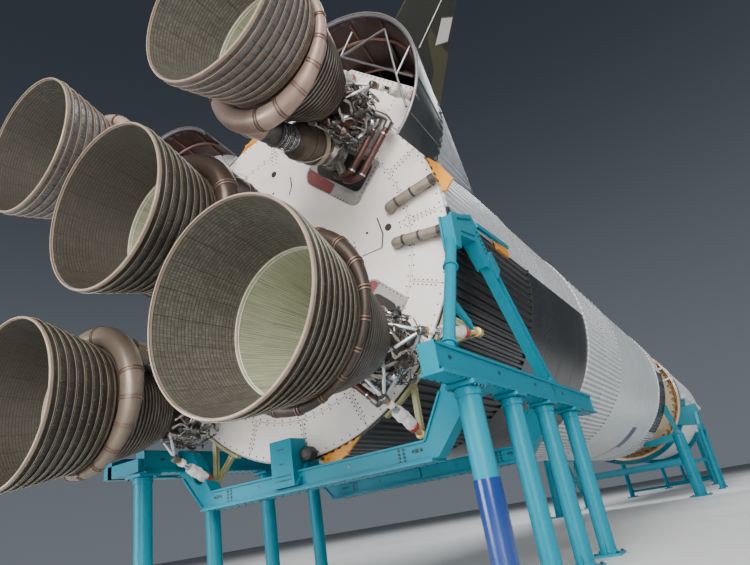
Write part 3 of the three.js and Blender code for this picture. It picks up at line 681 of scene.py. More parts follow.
tubeOutside = makeFinish("tube_outside", (0.13, 0.11, 0.095), (0.06, 0.045, 0.035), 0.5, 0.6, 0.7,
                         16, pattern=lined(178, 0, 0.3, (0.045, 0.035, 0.03), -0.0006))
bandMetal = makeFinish("band_metal", (0.20, 0.175, 0.15), (0.09, 0.066, 0.052), 0.45, 0.6, 0.8, 24)
collectorSkin = makeFinish("collector_skin", (0.44, 0.325, 0.27), (0.25, 0.165, 0.135), 0.42, 0.35,
                           0.75, 9)
# darker copies of the collector skin: painted shade
collectorShade = makeFinish("collector_painted_shade", (0.062, 0.045, 0.034), (0.034, 0.022, 0.017), 0.42,
                           0.45, 0.75, 9)
collectorHalfShade = makeFinish("collector_painted_half_shade", (0.21, 0.17, 0.13), (0.115, 0.09, 0.068), 0.42, 0.35,
                            0.75, 9)
strapDark = makeFinish("strap_dark", (0.14, 0.09, 0.07), (0.30, 0.20, 0.15), 0.5, 0.6, 0.5, 30)
pumpMetal = makeFinish("pump_metal", (0.27, 0.255, 0.24), (0.10, 0.08, 0.07), 0.38, 0.85, 0.8, 22)
castDark = makeFinish("cast_dark", (0.12, 0.11, 0.105), (0.05, 0.04, 0.035), 0.5, 0.7, 0.7, 22)
exchangerBrown = makeFinish("exchanger_brown", (0.12, 0.092, 0.07), (0.062, 0.046, 0.036), 0.45,
                            0.5, 0.8, 12)
bandCream = makeFinish("band_cream", (0.40, 0.33, 0.235), (0.25, 0.185, 0.13), 0.5, 0.2, 0.7, 20)
brightSteel = makeFinish("bright_steel", (0.56, 0.57, 0.59), (0.32, 0.31, 0.30), 0.3, 0.95, 0.6, 30)
# fine dark lines across the bellows, with a slight bump: painted shade in the creases of small
# folds
foldSteelCreaseShade = makeFinish("fold_steel_crease_shade", (0.55, 0.56, 0.58), (0.34, 0.33, 0.32), 0.32, 0.8, 0.5, 30,
                       pattern=lined(0, 187, 0.5, (0.05, 0.05, 0.05), -0.0008, 0.85))
rodSilver = makeFinish("rod_silver", (0.60, 0.64, 0.69), (0.36, 0.38, 0.41), 0.4, 0.6, 0.5, 30)
copperBall = makeFinish("copper_sphere", (0.46, 0.30, 0.23), (0.22, 0.13, 0.10), 0.33, 0.9, 0.7, 40)
rustPipe = makeFinish("rust_pipe", (0.115, 0.052, 0.043), (0.058, 0.03, 0.025), 0.45, 0.5, 0.8, 30)
wireCream = makeFinish("wire_cream", (0.60, 0.56, 0.47), (0.36, 0.31, 0.24), 0.55, 0.1, 0.7, 60)
# near black: painted shade in the coaming openings, and the colour of the dark bolts and discs
openingShadeAndBolts = makeFinish("opening_shade_and_bolt_dark", (0.02, 0.018, 0.017), (0.045, 0.035, 0.03), 0.7, 0.1, 0.6,
                        14)
gimbalSteel = makeFinish("gimbal_steel", (0.5, 0.5, 0.5), (0.27, 0.25, 0.22), 0.35, 0.9, 0.6, 30)
strutOlive = makeFinish("strut_olive", (0.33, 0.32, 0.14), (0.19, 0.175, 0.08), 0.5, 0.15, 0.7, 30,
                        bare=(0.42, 0.40, 0.30))
wrapWhite = makeFinish("wrap_white", (0.80, 0.79, 0.75), (0.56, 0.53, 0.48), 0.6, 0.0, 0.6, 30,
                       depth=0.0008, pattern=lined(0, 160, 0.1, (0.5, 0.48, 0.45), -0.0004))
ringRed = makeFinish("ring_red", (0.50, 0.035, 0.03), (0.28, 0.03, 0.03), 0.45, 0.0, 0.6, 40)
clevisGold = makeFinish("clevis_gold", (0.55, 0.40, 0.15), (0.32, 0.22, 0.10), 0.4, 0.6, 0.6, 40)
coamingGrey = makeFinish("coaming_grey", (0.36, 0.35, 0.35), (0.22, 0.20, 0.19), 0.55, 0.1, 0.7, 12)
patchRed = makeFinish("patch_red", (0.20, 0.055, 0.055), (0.12, 0.04, 0.038), 0.6, 0.0, 0.6, 20)
pipeTan = makeFinish("pipe_tan", (0.38, 0.33, 0.27), (0.2, 0.16, 0.13), 0.5, 0.35, 0.8, 20)
tealPaint = makeFinish("teal_paint", (0.0, 0.205, 0.29), (0.0, 0.16, 0.235), 0.4, 0.0, 0.35, 2.2,
                       grain=90,
                       depth=0.0001, bare=(0.0, 0.185, 0.255), wear=0.2, spread=0.05, gloss=0.22)
# dark teal: small marks, and painted shade in the oval holes
tealMarksAndHoleShade = makeFinish("teal_marks_and_hole_shade", (0.004, 0.045, 0.065), (0.003, 0.03, 0.045), 0.35, 0.0, 0.5, 6,
                      coat=0.2)
markBlack = makeFinish("mark_black", (0.010, 0.012, 0.014), (0.016, 0.018, 0.02), 0.5, 0.0, 0.5, 30)
# bolts a darker teal than the paint: painted shade
boltTealShade = makeFinish("bolt_teal_painted_shade", (0.005, 0.075, 0.105), (0.01, 0.03, 0.04), 0.35, 0.2, 0.5, 30)
bracketGold = makeFinish("bracket_gold", (0.78, 0.33, 0.03), (0.50, 0.20, 0.03), 0.42, 0.15, 0.6,
                         30)
signBlue = makeFinish("sign_blue", (0.008, 0.035, 0.17), (0.006, 0.024, 0.12), 0.3, 0.0, 0.6, 6,
                      coat=0.3)
print("finishes made")

# first-stage engines, drawn once: x forward, then out towards the stage's axis, then across
gimbalX = 254.0
engineSide = 462.3 * math.sqrt(0.5)
engines = [("upper_left", 1, 1), ("upper_right", -1, 1), ("lower_left", 1, -1),
           ("lower_right", -1, -1), ("middle", 0, 0)]


def local(back, out, across):
    return Vector((gimbalX - back * inch, out * inch, across * inch))


def inwardOf(quadY, quadZ):
    angle = math.atan2(-quadZ, -quadY) if quadY else math.pi * 0.75
    return math.cos(angle), math.sin(angle)


def atEngine(form, quadY, quadZ, reach=engineSide):
    ahead, side = inwardOf(quadY, quadZ)
    return moved(form, lambda p: (p[0], quadY * reach + ahead * p[1] - side * p[2],
                                  quadZ * reach + side * p[1] + ahead * p[2]))


def bodyOf(key, prefix):
    return "rocket" if key == "middle" else prefix + key


def curveThrough(knots, count):
    # even points on a smooth curve through (t, r) knots
    spots = flowing([(t, r, 0) for t, r in knots], count)
    return [(p.x, p.y) for p in spots]


extension = {"joint": 152.0, "exit": 215.4, "ribs": 7, "ribStep": 8.3, "firstRib": 208.0,
             "sides": 144,
             "ribWidth": 1.6, "ribHeight": 1.7, "wallRadius": 70.1, "wallSlope": 0.215,
             "wallBend": 0.0006, "clips": 40}


def extensionWall(t):
    back = extension["firstRib"] - t
    drop = extension["wallSlope"] * back
    return extension["wallRadius"] - drop - extension["wallBend"] * back * back


def drawExtension():
    form = newForm()
    inside = curveThrough([(extension["exit"], 69.9), (199, 66.8), (182, 63.2), (166, 59.2),
                           (extension["joint"], 55.3)], 4)
    marks = [0] * (len(inside) - 1)
    outside = [(152, 57.7), (155, 57.7), (155.3, extensionWall(155.3))]
    outMarks = [1, 4, 2, 1]
    for i in reversed(range(extension["ribs"])):
        tip = extension["firstRib"] - extension["ribStep"] * i
        wall = extensionWall(tip)
        half, rise = extension["ribWidth"] / 2, extension["ribHeight"]
        outside += [(tip - half - 0.5, wall + 0.1), (tip - half, wall + rise - 0.3),
                    (tip - half + 0.06, wall + rise),
                    (tip - half + 0.3, wall + rise), (tip + half - 0.3, wall + rise),
                    (tip + half - 0.06, wall + rise),
                    (tip + half, wall + rise - 0.3), (tip + half + 0.3, wall + 0.1)]
        outMarks += [4, 2, 2, 4, 2, 2, 4, 1]
    outside += [(212.2, 71.0), (212.8, 71.5), (214.9, 71.5), (215.4, 71.1), (215.4, 69.9)]
    outMarks += [3, 3, 3, 3, 3]
    profile = inside + outside
    marks = (marks + outMarks[:len(outside)] + [3] * len(profile))[:len(profile) - 1]
    spun(form, [(gimbalX - t * inch, r * inch) for t, r in profile], extension["sides"], marks)
    # a thin lap strip inside the exit
    spun(form, [(gimbalX - t * inch, r * inch) for t, r in [(214.6, 69.85), (214.6, 69.5),
                                                            (213.4, 69.3),
                                                            (213.4, 69.75), (214.6, 69.85)]],
         extension["sides"], 3)
    return form


def extensionClips():
    spots = []
    for i in range(extension["ribs"]):
        tip = extension["firstRib"] - extension["ribStep"] * i
        for c, s in ringTurns(extension["clips"], 0.5 * (i % 2)):
            aim = Vector((0, c, s))
            spots.append((Vector((gimbalX - (tip - 2.0) * inch, 0, 0))
                          + aim * (extensionWall(tip - 2) + 0.9) * inch,
                          aim))
    return spots


chamber = {"sides": 120, "bands": 17, "firstBand": 70.0, "bandStep": 4.7, "bandWidth": 1.2,
           "bandHeight": 1.3}
wallKnots = [(46, 16.6), (52, 17.6), (60, 22.5), (70, 29.8), (86, 37.6), (104, 44.4), (128, 51.2),
             (151.8, 56.4)]
boreKnots = [(151.8, 55.2), (128, 49.6), (104, 43), (86, 36), (70, 28.2), (60, 21), (52, 15.6),
             (47, 14.6)]


def wallAt(t, knots=wallKnots):
    for (t0, r0), (t1, r1) in zip(knots, knots[1:]):
        if t0 <= t <= t1:
            return r0 + (r1 - r0) * (t - t0) / (t1 - t0)
    return knots[-1][1]


def drawChamber(form):
    profile = [(15.6, 0), (15.6, 8.6), (16.4, 9.4), (17.4, 9.6), (17.6, 15.2), (19.2, 18.6),
               (21, 19.9), (22.5, 20.1),
               (22.6, 21.6), (25.4, 21.6), (25.5, 20.3), (33.5, 20.3), (33.6, 21.8), (36.8, 21.8),
               (36.9, 20.2), (42, 18.2)]
    marks = [4] * (len(profile) - 1) + [2]
    outer = [(46, 16.6), (52, 17.6), (57, 20.4), (62, 24.0), (67, 27.7)]
    profile += outer
    marks += [2] * len(outer)
    for i in range(chamber["bands"]):
        t = chamber["firstBand"] + chamber["bandStep"] * i
        half, rise = chamber["bandWidth"] / 2, chamber["bandHeight"]
        profile += [(t - half, wallAt(t - half)), (t - half, wallAt(t) + rise),
                    (t + half, wallAt(t) + rise), (t + half, wallAt(t + half))]
        marks += [3, 3, 3, 2]
    profile += [(150, 56.3), (150, 57.7), (151.8, 57.7), (151.8, 55.2)]
    marks += [3, 3, 3, 3]
    bore = curveThrough(boreKnots, 3)
    profile += bore[1:] + [(46.4, 12), (46.4, 8.2), (46.0, 8.2), (46.0, 4.1), (46.4, 4.1),
                           (46.4, 0)]
    marks = marks[:len(profile) - len(bore[1:]) - 7]
    marks += [0] * (len(bore) - 1) + [5] * 6
    marks = (marks + [5] * len(profile))[:len(profile) - 1]
    spun(form, [(gimbalX - t * inch, r * inch) for t, r in profile], chamber["sides"], marks)
    for t, half in ((150.8, 0.75), (148.6, 0.3)):  # the pale double ring inside, by the joint
        r = wallAt(t) - 1.3
        spun(form, [(gimbalX - a * inch, b * inch) for a, b in
                    [(t - half, r + 0.4), (t - half, r - 0.5), (t + half, r - 0.4),
                     (t + half, r + 0.6), (t - half, r + 0.4)]], chamber["sides"], 13)


def collectorPoint(turn, roll, lift=0.0):
    tube = (6.8 + 4.0 * math.cos(turn)) * inch
    radius = 55.6 * inch + tube + (tube + lift) * math.cos(roll)
    return Vector((gimbalX - 150 * inch + tube + (tube + lift) * math.sin(roll),
                   radius * math.cos(turn), radius * math.sin(turn)))


def drawCollector(form, skin, strap):
    turns, sides = 120, 20
    points = [collectorPoint(2 * math.pi * i / turns, 2 * math.pi * j / sides)
              for i in range(turns)
              for j in range(sides)]
    faces, uvs = [], []
    for i in range(turns):
        for j in range(sides):
            k, m = (i + 1) % turns, (j + 1) % sides
            faces.append([i * sides + j, i * sides + m, k * sides + m, k * sides + j])
            uvs.append([(i / turns, j / sides), (i / turns, (j + 1) / sides),
                        ((i + 1) / turns, (j + 1) / sides), ((i + 1) / turns, j / sides)])
    addPatch(form, points, faces, skin, uvs)
    # paired clamp straps about every twenty degrees
    for i in range(18):
        for twin in (-1, 1):
            turn = math.radians(20 * i + 10 + twin * 1.1)
            if abs(math.sin(turn / 2)) < 0.2:
                continue
            wide = math.radians(0.42)
            path = []
            for j in range(20):
                roll = 2 * math.pi * j / 20
                path.append([collectorPoint(turn - wide, roll, 0),
                             collectorPoint(turn - wide, roll, 1.7),
                             collectorPoint(turn + wide, roll, 1.7),
                             collectorPoint(turn + wide, roll, 0)])
            points = [p for group in path for p in group]
            faces = []
            for j in range(20):
                k = (j + 1) % 20
                for c in range(3):
                    faces.append([j * 4 + c, j * 4 + c + 1, k * 4 + c + 1, k * 4 + c])
            addPatch(form, points, faces, strap)


def bellows(start, step, count, low, high):
    profile = []
    for i in range(count):
        s = start + step * i
        profile += [(s, low), (s + step * 0.25, high), (s + step * 0.6, high),
                    (s + step * 0.85, low)]
    return profile


clutter = {"seed": 11, "pipes": 150, "valves": 34, "rods": 10, "bundles": 14, "wires": 7,
           "reach": 36.0, "aft": 58, "fore": 9, "clearance": 2.2, "bareRadius": 20.5}
valveShape = [(0, 0), (0, 2.2), (1, 3), (4, 3), (4.2, 4.2), (5.4, 4.2), (5.6, 3), (8, 2.6),
              (8.6, 1.4), (11, 1.4), (11, 0)]


def ball(form, centre, radius, finish):
    rings = [(-radius * math.cos(math.pi * i / 10), radius * math.sin(math.pi * i / 10)
              if 0 < i < 10 else 0)
             for i in range(11)]
    turned(form, rings, 20, finish, centre, Vector(centre) + Vector((0, 0, 1)))


def around(back, radius, turn):
    return local(back, radius * math.cos(turn), radius * math.sin(turn))


def clearOf(back):
    return (wallAt(back) if back > wallKnots[0][0]
            else clutter["bareRadius"]) + clutter["clearance"]


def farOf(back):
    return clutter["reach"] - 0.12 * back


def taperedRod(form, start, end, radius, finish):
    length = (Vector(end) - Vector(start)).length
    turned(form, [(0, 0), (0, radius * 0.5), (length * 0.1, radius * 0.55), (length * 0.17, radius),
                  (length * 0.8, radius),
                  (length * 0.88, radius * 0.55), (length, radius * 0.5), (length, 0)], 12, finish,
           start, end)


def drawClutter(form):
    # pipes, valves, rods and looping wires round the chamber, from the shield to the collector
    dice = random.Random(clutter["seed"])
    for i in range(clutter["pipes"]):
        thick = dice.choice((0.3, 0.35, 0.4, 0.55, 0.8, 1.2))
        back, turn = dice.uniform(9, 50), dice.uniform(0, 2 * math.pi)
        radius = clearOf(back) + dice.uniform(0, 15)
        path = []
        for step in range(4):
            path.append(around(back, min(max(radius, clearOf(back)), farOf(back)), turn))
            back = min(clutter["aft"], max(clutter["fore"], back + dice.uniform(-12, 12)))
            turn += dice.uniform(-0.34, 0.34)
            radius += dice.uniform(-5, 5)
        sweep(form, flowing(path, 4), thick * inch, 6, dice.choice((8, 4, 4, 5, 12, 14, 14, 5)))
    for i in range(clutter["valves"]):
        size = dice.uniform(0.5, 1.35)
        back, turn = dice.uniform(24, 50), dice.uniform(0, 2 * math.pi)
        start = around(back, clearOf(back) + dice.uniform(1, 9), turn)
        aim = Vector([dice.uniform(-1, 1) for axis in range(3)]).normalized()
        outward = Vector((0, start.y, start.z)).normalized()
        aim -= outward * max(0.0, aim.dot(outward) - 0.15)
        turned(form, [(t * size * inch, r * size * inch) for t, r in valveShape], 12,
               dice.choice((4, 14, 14, 12)), start, start + aim)
    for i in range(clutter["rods"]):
        turn = dice.uniform(0, 2 * math.pi)
        taperedRod(form, around(dice.uniform(44, 60), 28, turn),
                   around(dice.uniform(10, 22), dice.uniform(28, 34),
                          turn + dice.uniform(-0.4, 0.4)), 0.95 * inch, 16)
    for i in range(clutter["bundles"]):
        turn, bow = 2 * math.pi * (i + 0.4) / clutter["bundles"], dice.uniform(4, 11)
        for j in range(clutter["wires"]):
            path = [around(back, clearOf(back) + 1 + bow * math.sin(k * 1.3) ** 2
                           + dice.uniform(-1, 1.5),
                           turn + 0.16 * math.sin(k * 1.7 + i) + dice.uniform(-0.05, 0.05))
                    for k, back in enumerate((62, 52, 42, 32, 22, 11))]
            sweep(form, flowing(path, 4), 0.27 * inch, 4, 13)


def drawMachinery(form):
    # finishes: 4 cast grey, 6 brown exchanger, 7 cream band, 8 bright steel, 9 collector skin,
    # 10 straps, 11 copper, 12 rust pipe, 13 wire, 14 dark cast, 15 folded steel, 16 silver rod
    pump = [(4.6, 0), (4.6, 8), (5.4, 9.6), (6.6, 10.2), (8, 12.4), (11.4, 16), (12.4, 16.4),
            (12.5, 17.6),
            (14.2, 17.6), (14.3, 16.5), (19, 16.3), (19.1, 17.8), (21.2, 17.8), (21.3, 16.3),
            (26.4, 16.4),
            (28.4, 14.6), (29.8, 13), (33, 12.6), (33.1, 14.2), (35, 14.2), (35.1, 12.6),
            (40, 12.8), (41.6, 11.8), (42.2, 8), (42.2, 0)]
    turned(form, [(t * inch, r * inch) for t, r in pump], 40, 4, local(0, 42, 0), local(10, 42, 0))
    beam(form, local(66, 22, 0), local(66, 42, 0), 20, 30, 14)
    for side in (6, -6):
        beam(form, local(31, 18, side), local(31, 34, side), 12, 22, 4)
    # turbine, heat exchanger with its pale front band, bellows, then the duct into the collector
    exhaust = [(0, 0), (0, 12.6), (1.6, 14.2), (1.7, 15.8), (3.6, 15.8), (4.6, 18.2)]
    marks = [14, 14, 14, 14, 7]
    exhaust += [(5, 18.7), (11.5, 19.1), (11.6, 19.9), (13, 19.9), (13.1, 19.2), (24, 19.3),
                (24.1, 19.9),
                (25.2, 19.9), (25.3, 19.3), (34.4, 19.4), (37, 18.4), (40.6, 14.2), (42, 13.1)]
    marks += [7, 7, 6, 6, 6, 6, 6, 6, 6, 6, 6, 6, 6]
    fold = bellows(43, 2.1, 9, 11.8, 13.6)
    exhaust += fold
    marks += [15] * len(fold)
    exhaust += [(62.4, 12.8), (62.5, 14.0), (64.4, 14.0), (64.5, 12.6), (80, 11.8), (96, 11),
                (98, 0)]
    marks += [14, 14, 14, 14, 14, 9, 9]
    marks = (marks + [9] * len(exhaust))[:len(exhaust) - 1]
    turned(form, [(t * inch, r * inch) for t, r in exhaust], 48, marks, local(34, 45, 0),
           local(134, 65, 0))
    # two rust-coloured headers with silver collars; each bends into the opening in the shield
    for across in (-31, -46):
        path = rounded([local(11, -4, across), local(11, 52, across), local(9.6, 60, across + 12),
                        local(8.6, 61, across + 20)], 26)
        sweep(form, path, 3.5 * inch, 16, 12)
        for s, skin in ((2, 8), (20, 12), (34, 12), (49, 8)):
            sweep(form, [local(11, s - 0.8, across), local(11, s + 0.8, across)], 4.1 * inch, 16,
                  skin)
        sweep(form, [local(11, -12, across), local(11, -4, across)], 4.6 * inch, 16, 4)
        sweep(form, rounded([local(11, -11, across), local(13, -14, across + 5),
                             local(20, -13, across + 15)], 14),
              3.2 * inch, 14, 4)
    sweep(form, rounded([local(19, 42, 0), local(17, 46, -12), local(13.5, 57, -26)], 40),
          4.6 * inch, 16, 4)
    sweep(form, rounded([local(24, 8, 0), local(20, 8, -20), local(15, 3, -34)], 40), 5.6 * inch,
          20, 5)
    sweep(form, [local(23, 9.5, -3), local(22.6, 9.3, -6)], 7.6 * inch, 20, 8)
    for point, size, finish in ((local(38, 18.2, -19), 6.2, 11), (local(17, -3, -31), 5.4, 8),
                                (local(33, -24, -14), 4.6, 8), (local(30, 20, 26), 5.6, 11)):
        ball(form, point, size * inch, finish)
    # loose pale wires over the turbine, the heat exchanger and its bellows
    for path in ([(30, 26, 12), (34, 34, 19), (44, 44, 22), (60, 49, 20.5), (78, 52, 18),
                  (96, 55, 15), (112, 58, 13)],
                 [(28, 34, -20), (36, 42, -22), (44, 50, -21), (52, 62, -17), (58, 68, -9),
                  (66, 70, 0), (74, 68, 10)],
                 [(100, 62, 14), (106, 68, 18), (114, 72, 16), (118, 70, 8), (112, 68, 2),
                  (106, 70, 6), (112, 74, 13), (122, 74, 12)],
                 [(20, 30, 24), (16, 40, 26), (22, 50, 25), (34, 58, 20), (40, 62, 12)]):
        sweep(form, flowing([local(*spot) for spot in path], 5), 0.34 * inch, 6, 13)
    drawClutter(form)


print("engine drawn")

engineFinishes = [tubeInside, bellOutside, tubeOutside, bandMetal, pumpMetal, castDark,
                  exchangerBrown, bandCream,
                  brightSteel, collectorSkin, strapDark, copperBall, rustPipe, wireCream, castDark,
                  foldSteelCreaseShade, rodSilver]
extensionForm = drawExtension()
clipSpots = extensionClips()
chamberForm = newForm()
drawChamber(chamberForm)
drawCollector(chamberForm, 9, 10)
drawMachinery(chamberForm)

bearing = {"half": 9, "earIn": 9.3, "earOut": 15, "earHalf": 4.5, "reach": 6}
smallBearing = {"half": 6.5, "earIn": 6.8, "earOut": 11, "earHalf": 2.4, "reach": 4.5}
actuator = {"padBack": -102, "padOut": 118, "frameAhead": 30, "frameOut": 185, "gap": 2.5,
            "feet": ((58, 21, -11), (54, 17, 12), (20, 14, 17)),
            "pouches": ((46, 20, 7.4), (49, 150, 8), (58, 265, 7.6), (66, 75, 8.2), (74, 190, 7.2),
                        (83, 330, 8), (90, 120, 6.8))}
actuatorRun = Vector((actuator["frameAhead"] - actuator["padBack"],
                      actuator["frameOut"] - actuator["padOut"], 0))
actuatorAim = actuatorRun.normalized()


def onActuator(quadY, quadZ, way, s):
    x = gimbalX + actuator["padBack"] + actuatorAim.x * s
    out = actuator["padOut"] + actuatorAim.y * s
    y = quadY * (engineSide + (out if way == "y" else 0))
    z = quadZ * (engineSide + (out if way == "z" else 0))
    return Vector((x, y, z))


def ears(form, size, x0, x1, y, z, upright, finish):
    for side in (-1, 1):
        low, high = sorted((side * size["earIn"], side * size["earOut"]))
        half = size["earHalf"]
        if upright:
            block(form, x0, x1, y - half, y + half, z + low, z + high, finish)
        else:
            block(form, x0, x1, y + low, y + high, z - half, z + half, finish)


for key, quadY, quadZ in engines:
    swings = quadY != 0
    body = bodyOf(key, "first_engine_")
    y, z = quadY * engineSide, quadZ * engineSide
    # the left and middle bells take the darker inside, and the lower and middle bells take the
    # darker outside and ribs: painted shade
    finishPiece(atEngine(extensionForm, quadY, quadZ), "bell_extension_" + key, body,
                [bellInside if key.endswith("right") else bellInsideShade, *(
                    (bellOutside, ribEdgeHighlight, rimTan, ribFace) if key.startswith("upper")
                    else (bellShaded, ribEdgeHighlightShaded, rimTan, ribFaceShaded))],
                ["nozzle_extension_" + key])
    ahead, side = inwardOf(quadY, quadZ)
    spots = []
    for point, aim in clipSpots:
        spots.append(((point.x, y + ahead * point.y - side * point.z,
                       z + side * point.y + ahead * point.z),
                      (0, ahead * aim.y - side * aim.z, side * aim.y + ahead * aim.z)))
    addStuds(spots, "rib_clips_" + key, body, strapDark, 1.5, 4.4, 4)
    form = atEngine(chamberForm, quadY, quadZ)
    if swings:
        ears(form, bearing, gimbalX - 17 * inch, gimbalX + bearing["reach"], y, z, True, 4)
        for way in ("y", "z"):
            hub = onActuator(quadY, quadZ, way, -7)
            ball(form, hub, 7.5, 8)
            for back, out, across in actuator["feet"]:
                reach, aside = engineSide + out * inch, engineSide + across * inch
                foot = (quadY * (reach if way == "y" else aside),
                        quadZ * (aside if way == "y" else reach))
                taperedRod(form, (gimbalX - back * inch, *foot), hub, 4.0, 16)
            turned(form, [(0, 0), (0, 8), (2, 10), (14, 10), (16, 8.5), (16, 0)], 16, 4,
                   onActuator(quadY, quadZ, way, -16), onActuator(quadY, quadZ, way, 0))
    else:
        sweep(form, [(gimbalX - 17 * inch, y, z), (269.7, y, z)], 16, 20, 4)
    skins = list(engineFinishes)
    # the lower and middle engines take the painted-shade copies of the collector skin
    skins[9] = {"lower_right": collectorShade, "middle": collectorShade,
                "lower_left": collectorHalfShade}.get(key, skins[9])
    finishPiece(form, "thrust_engine_" + key, body, skins,
                ["thrust_chamber_" + key])
print("first-stage engines placed")

# pitch and yaw actuators
wrap = {"sides": 28, "core": 8, "wide": (0.085, 2.6), "fine": (0.2, 2.2), "in": -1.4, "out": 1.9}


def wrapped(form, profile, finish, start, end):
    # a quilted wrap: the turned shape, pushed in and out in soft lumps
    first = len(form["points"])
    turned(form, profile, wrap["sides"], finish, start, end)
    origin, ahead = Vector(start), (Vector(end) - Vector(start)).normalized()
    for i in range(first, len(form["points"])):
        point = Vector(form["points"][i])
        along = (point - origin).dot(ahead)
        outward = point - origin - ahead * along
        if outward.length > wrap["core"]:
            lump = sum(noise.noise(point * scale) * height for scale,
                       height in (wrap["wide"], wrap["fine"]))
            form["points"][i] = tuple(point + outward.normalized() * max(wrap["in"],
                                                                         min(wrap["out"], lump)))


for key, quadY, quadZ in engines[:4]:
    frameForm = newForm()
    middle = math.degrees(math.atan2(quadZ, quadY))
    arcPlate(frameForm, 509.5, 517, middle - 17, middle + 17, 12, 281, 296, 0)
    for way, motion in (("z", "pitch"), ("y", "yaw")):
        def at(s):
            return onActuator(quadY, quadZ, way, s)

        rodForm = newForm()
        turned(rodForm, [(0, 0), (0, 6), (1.5, 9), (5, 9), (7.5, 6.5), (9, 6.3), (70, 6.3),
                         (71, 6.5), (74, 6.5),
                         (74, 0)], 20, [2, 2, 2, 2, 0, 0, 0, 0, 0], at(actuator["gap"]), at(80))
        wrapped(rodForm, [(6, 6.2), (6.5, 8.4), (9, 9.4), (12, 9.8), (15, 9.2), (18, 9.8),
                          (21, 9.4), (23, 8.2), (23.5, 6.2)], 3, at(0), at(80))
        finishPiece(rodForm, f"actuator_shaft_{motion}_{key}", f"rod_{motion}_{key}",
                    [brightSteel, ringRed, clevisGold, wrapWhite], [f"actuator_rod_{motion}_{key}"])
        turned(frameForm, [(54, 0), (54, 7.4), (0, 7.4), (0, 12), (54, 12)], 20, 1, at(42), at(148))
        wrapped(frameForm, [(0, 7.6), (0, 12), (1.2, 12.6)]
                + [(2 + 3 * i, 12.8 - 0.7 * math.exp(-((i - 8.5) / 1.3) ** 2)
                                                                + 0.4 * math.sin(i * 1.9))
                   for i in range(20)]
                + [(61, 12.4), (62, 11)], 1, at(42), at(148))
        ahead = (at(148) - at(42)).normalized()
        across = ahead.orthogonal().normalized()
        for s, turn, size in actuator["pouches"]:
            centre = at(s) + Matrix.Rotation(math.radians(turn), 3, ahead) @ across * 8.2
            wrapped(frameForm, [(0, 0), (0, size - 3), (2, size - 0.8), (7, size), (12, size - 0.8),
                                (14, size - 3), (14, 0)], 1, centre, centre + ahead)
        turned(frameForm, [(58, 8), (62, 13.6), (73, 13.2), (74, 11), (74, 8)], 28, [2, 2, 2, 2],
               at(42), at(148))
        turned(frameForm, [(73, 9.5), (84, 7.5), (90, 7), (108, 7), (108, 0)], 20, 3, at(42),
               at(148))
        tip = at(146)
        turned(frameForm, [(0, 0), (0, 9), (1, 11), (16, 11), (17, 9), (17, 0)], 20, 3,
               tip - Vector((8, 0, 0)), tip + Vector((9, 0, 0)))
        for share in (1.0, 0.8):
            near = engineSide * share
            far = math.sqrt(513 * 513 - near * near)
            foot = (near, far) if way == "z" else (far, near)
            end = Vector((287, quadY * foot[0], quadZ * foot[1]))
            beam(frameForm, tip + Vector((1, 0, 0)), end, 12.5, 12.5, 0, 4.5, 2.6)
            for along in (0.12, 0.88):
                spot = tip.lerp(end, along)
                step = (end - tip).normalized() * 3
                beam(frameForm, spot - step, spot + step, 13.6, 13.6, 0)
    finishPiece(frameForm, "actuator_truss_" + key, "rocket",
                [strutOlive, wrapWhite, ringRed, clevisGold], ["actuator_frame_" + key])
    crossForm = newForm()
    h = bearing["half"]
    y, z = quadY * engineSide, quadZ * engineSide
    crossPlate(crossForm, octagon(y, z, h, 2), gimbalX - h, gimbalX + h)
    finishPiece(crossForm, "gimbal_block_" + key, "first_cross_" + key,
                [gimbalSteel], ["gimbal_cross_" + key], bevel=0.8)
print("actuators placed")

# base heat shield with its coamings, panel seams, bolt rows and elbow pipes
shield = {"aft": 275.2, "fore": 284.2, "radius": 503.0, "seamRadius": 405.0, "spokes": 16,
          "rimBolts": 120}


def aboutAxis(tree, coords):
    # a point's x, and its y and height measured from the stage's axis
    place = addNode(tree, "SeparateXYZ", {0: coords["Object"]})
    return place.outputs[0], place.outputs[1], calc(tree, "SUBTRACT", place.outputs[2],
                                                    axisHeight / 1000)


def shieldSeams(tree, coords, tone, height):
    across, up = aboutAxis(tree, coords)[1:]
    radius = calc(tree, "SQRT", calc(tree, "ADD", calc(tree, "MULTIPLY", across, across),
                                     calc(tree, "MULTIPLY", up, up)))
    ring = calc(tree, "ABSOLUTE", calc(tree, "SUBTRACT", radius, shield["seamRadius"] / 1000))
    ring = calc(tree, "SUBTRACT", 1.0, fade(tree, ring, 0.0006, 0.0016))
    angle = calc(tree, "DIVIDE", calc(tree, "ARCTAN2", up, across), 2 * math.pi / shield["spokes"])
    spoke = calc(tree, "ABSOLUTE", calc(tree, "SUBTRACT", calc(tree, "FRACT", angle), 0.5))
    spoke = calc(tree, "MULTIPLY", calc(tree, "SUBTRACT", 0.5, spoke), radius)
    spoke = calc(tree, "SUBTRACT", 1.0, fade(tree, spoke, 0.002, 0.006))
    outer = fade(tree, radius, shield["seamRadius"] / 1000 - 0.001, shield["seamRadius"] / 1000)
    seams = calc(tree, "MAXIMUM", ring, calc(tree, "MULTIPLY", spoke, outer))
    tone = blendColour(tree, calc(tree, "MULTIPLY", seams, 0.5), tone, (0.2, 0.17, 0.16))
    return tone, calc(tree, "MULTIPLY_ADD", seams, -0.0008, height)


blockBrown = makeFinish("block_brown", (0.16, 0.07, 0.052), (0.08, 0.04, 0.03), 0.55, 0.2, 0.7, 20)
shieldPanels = makeFinish("shield_panels", (0.80, 0.77, 0.74), (0.66, 0.60, 0.57), 0.6, 0.0, 0.6, 5,
                          pattern=shieldSeams)


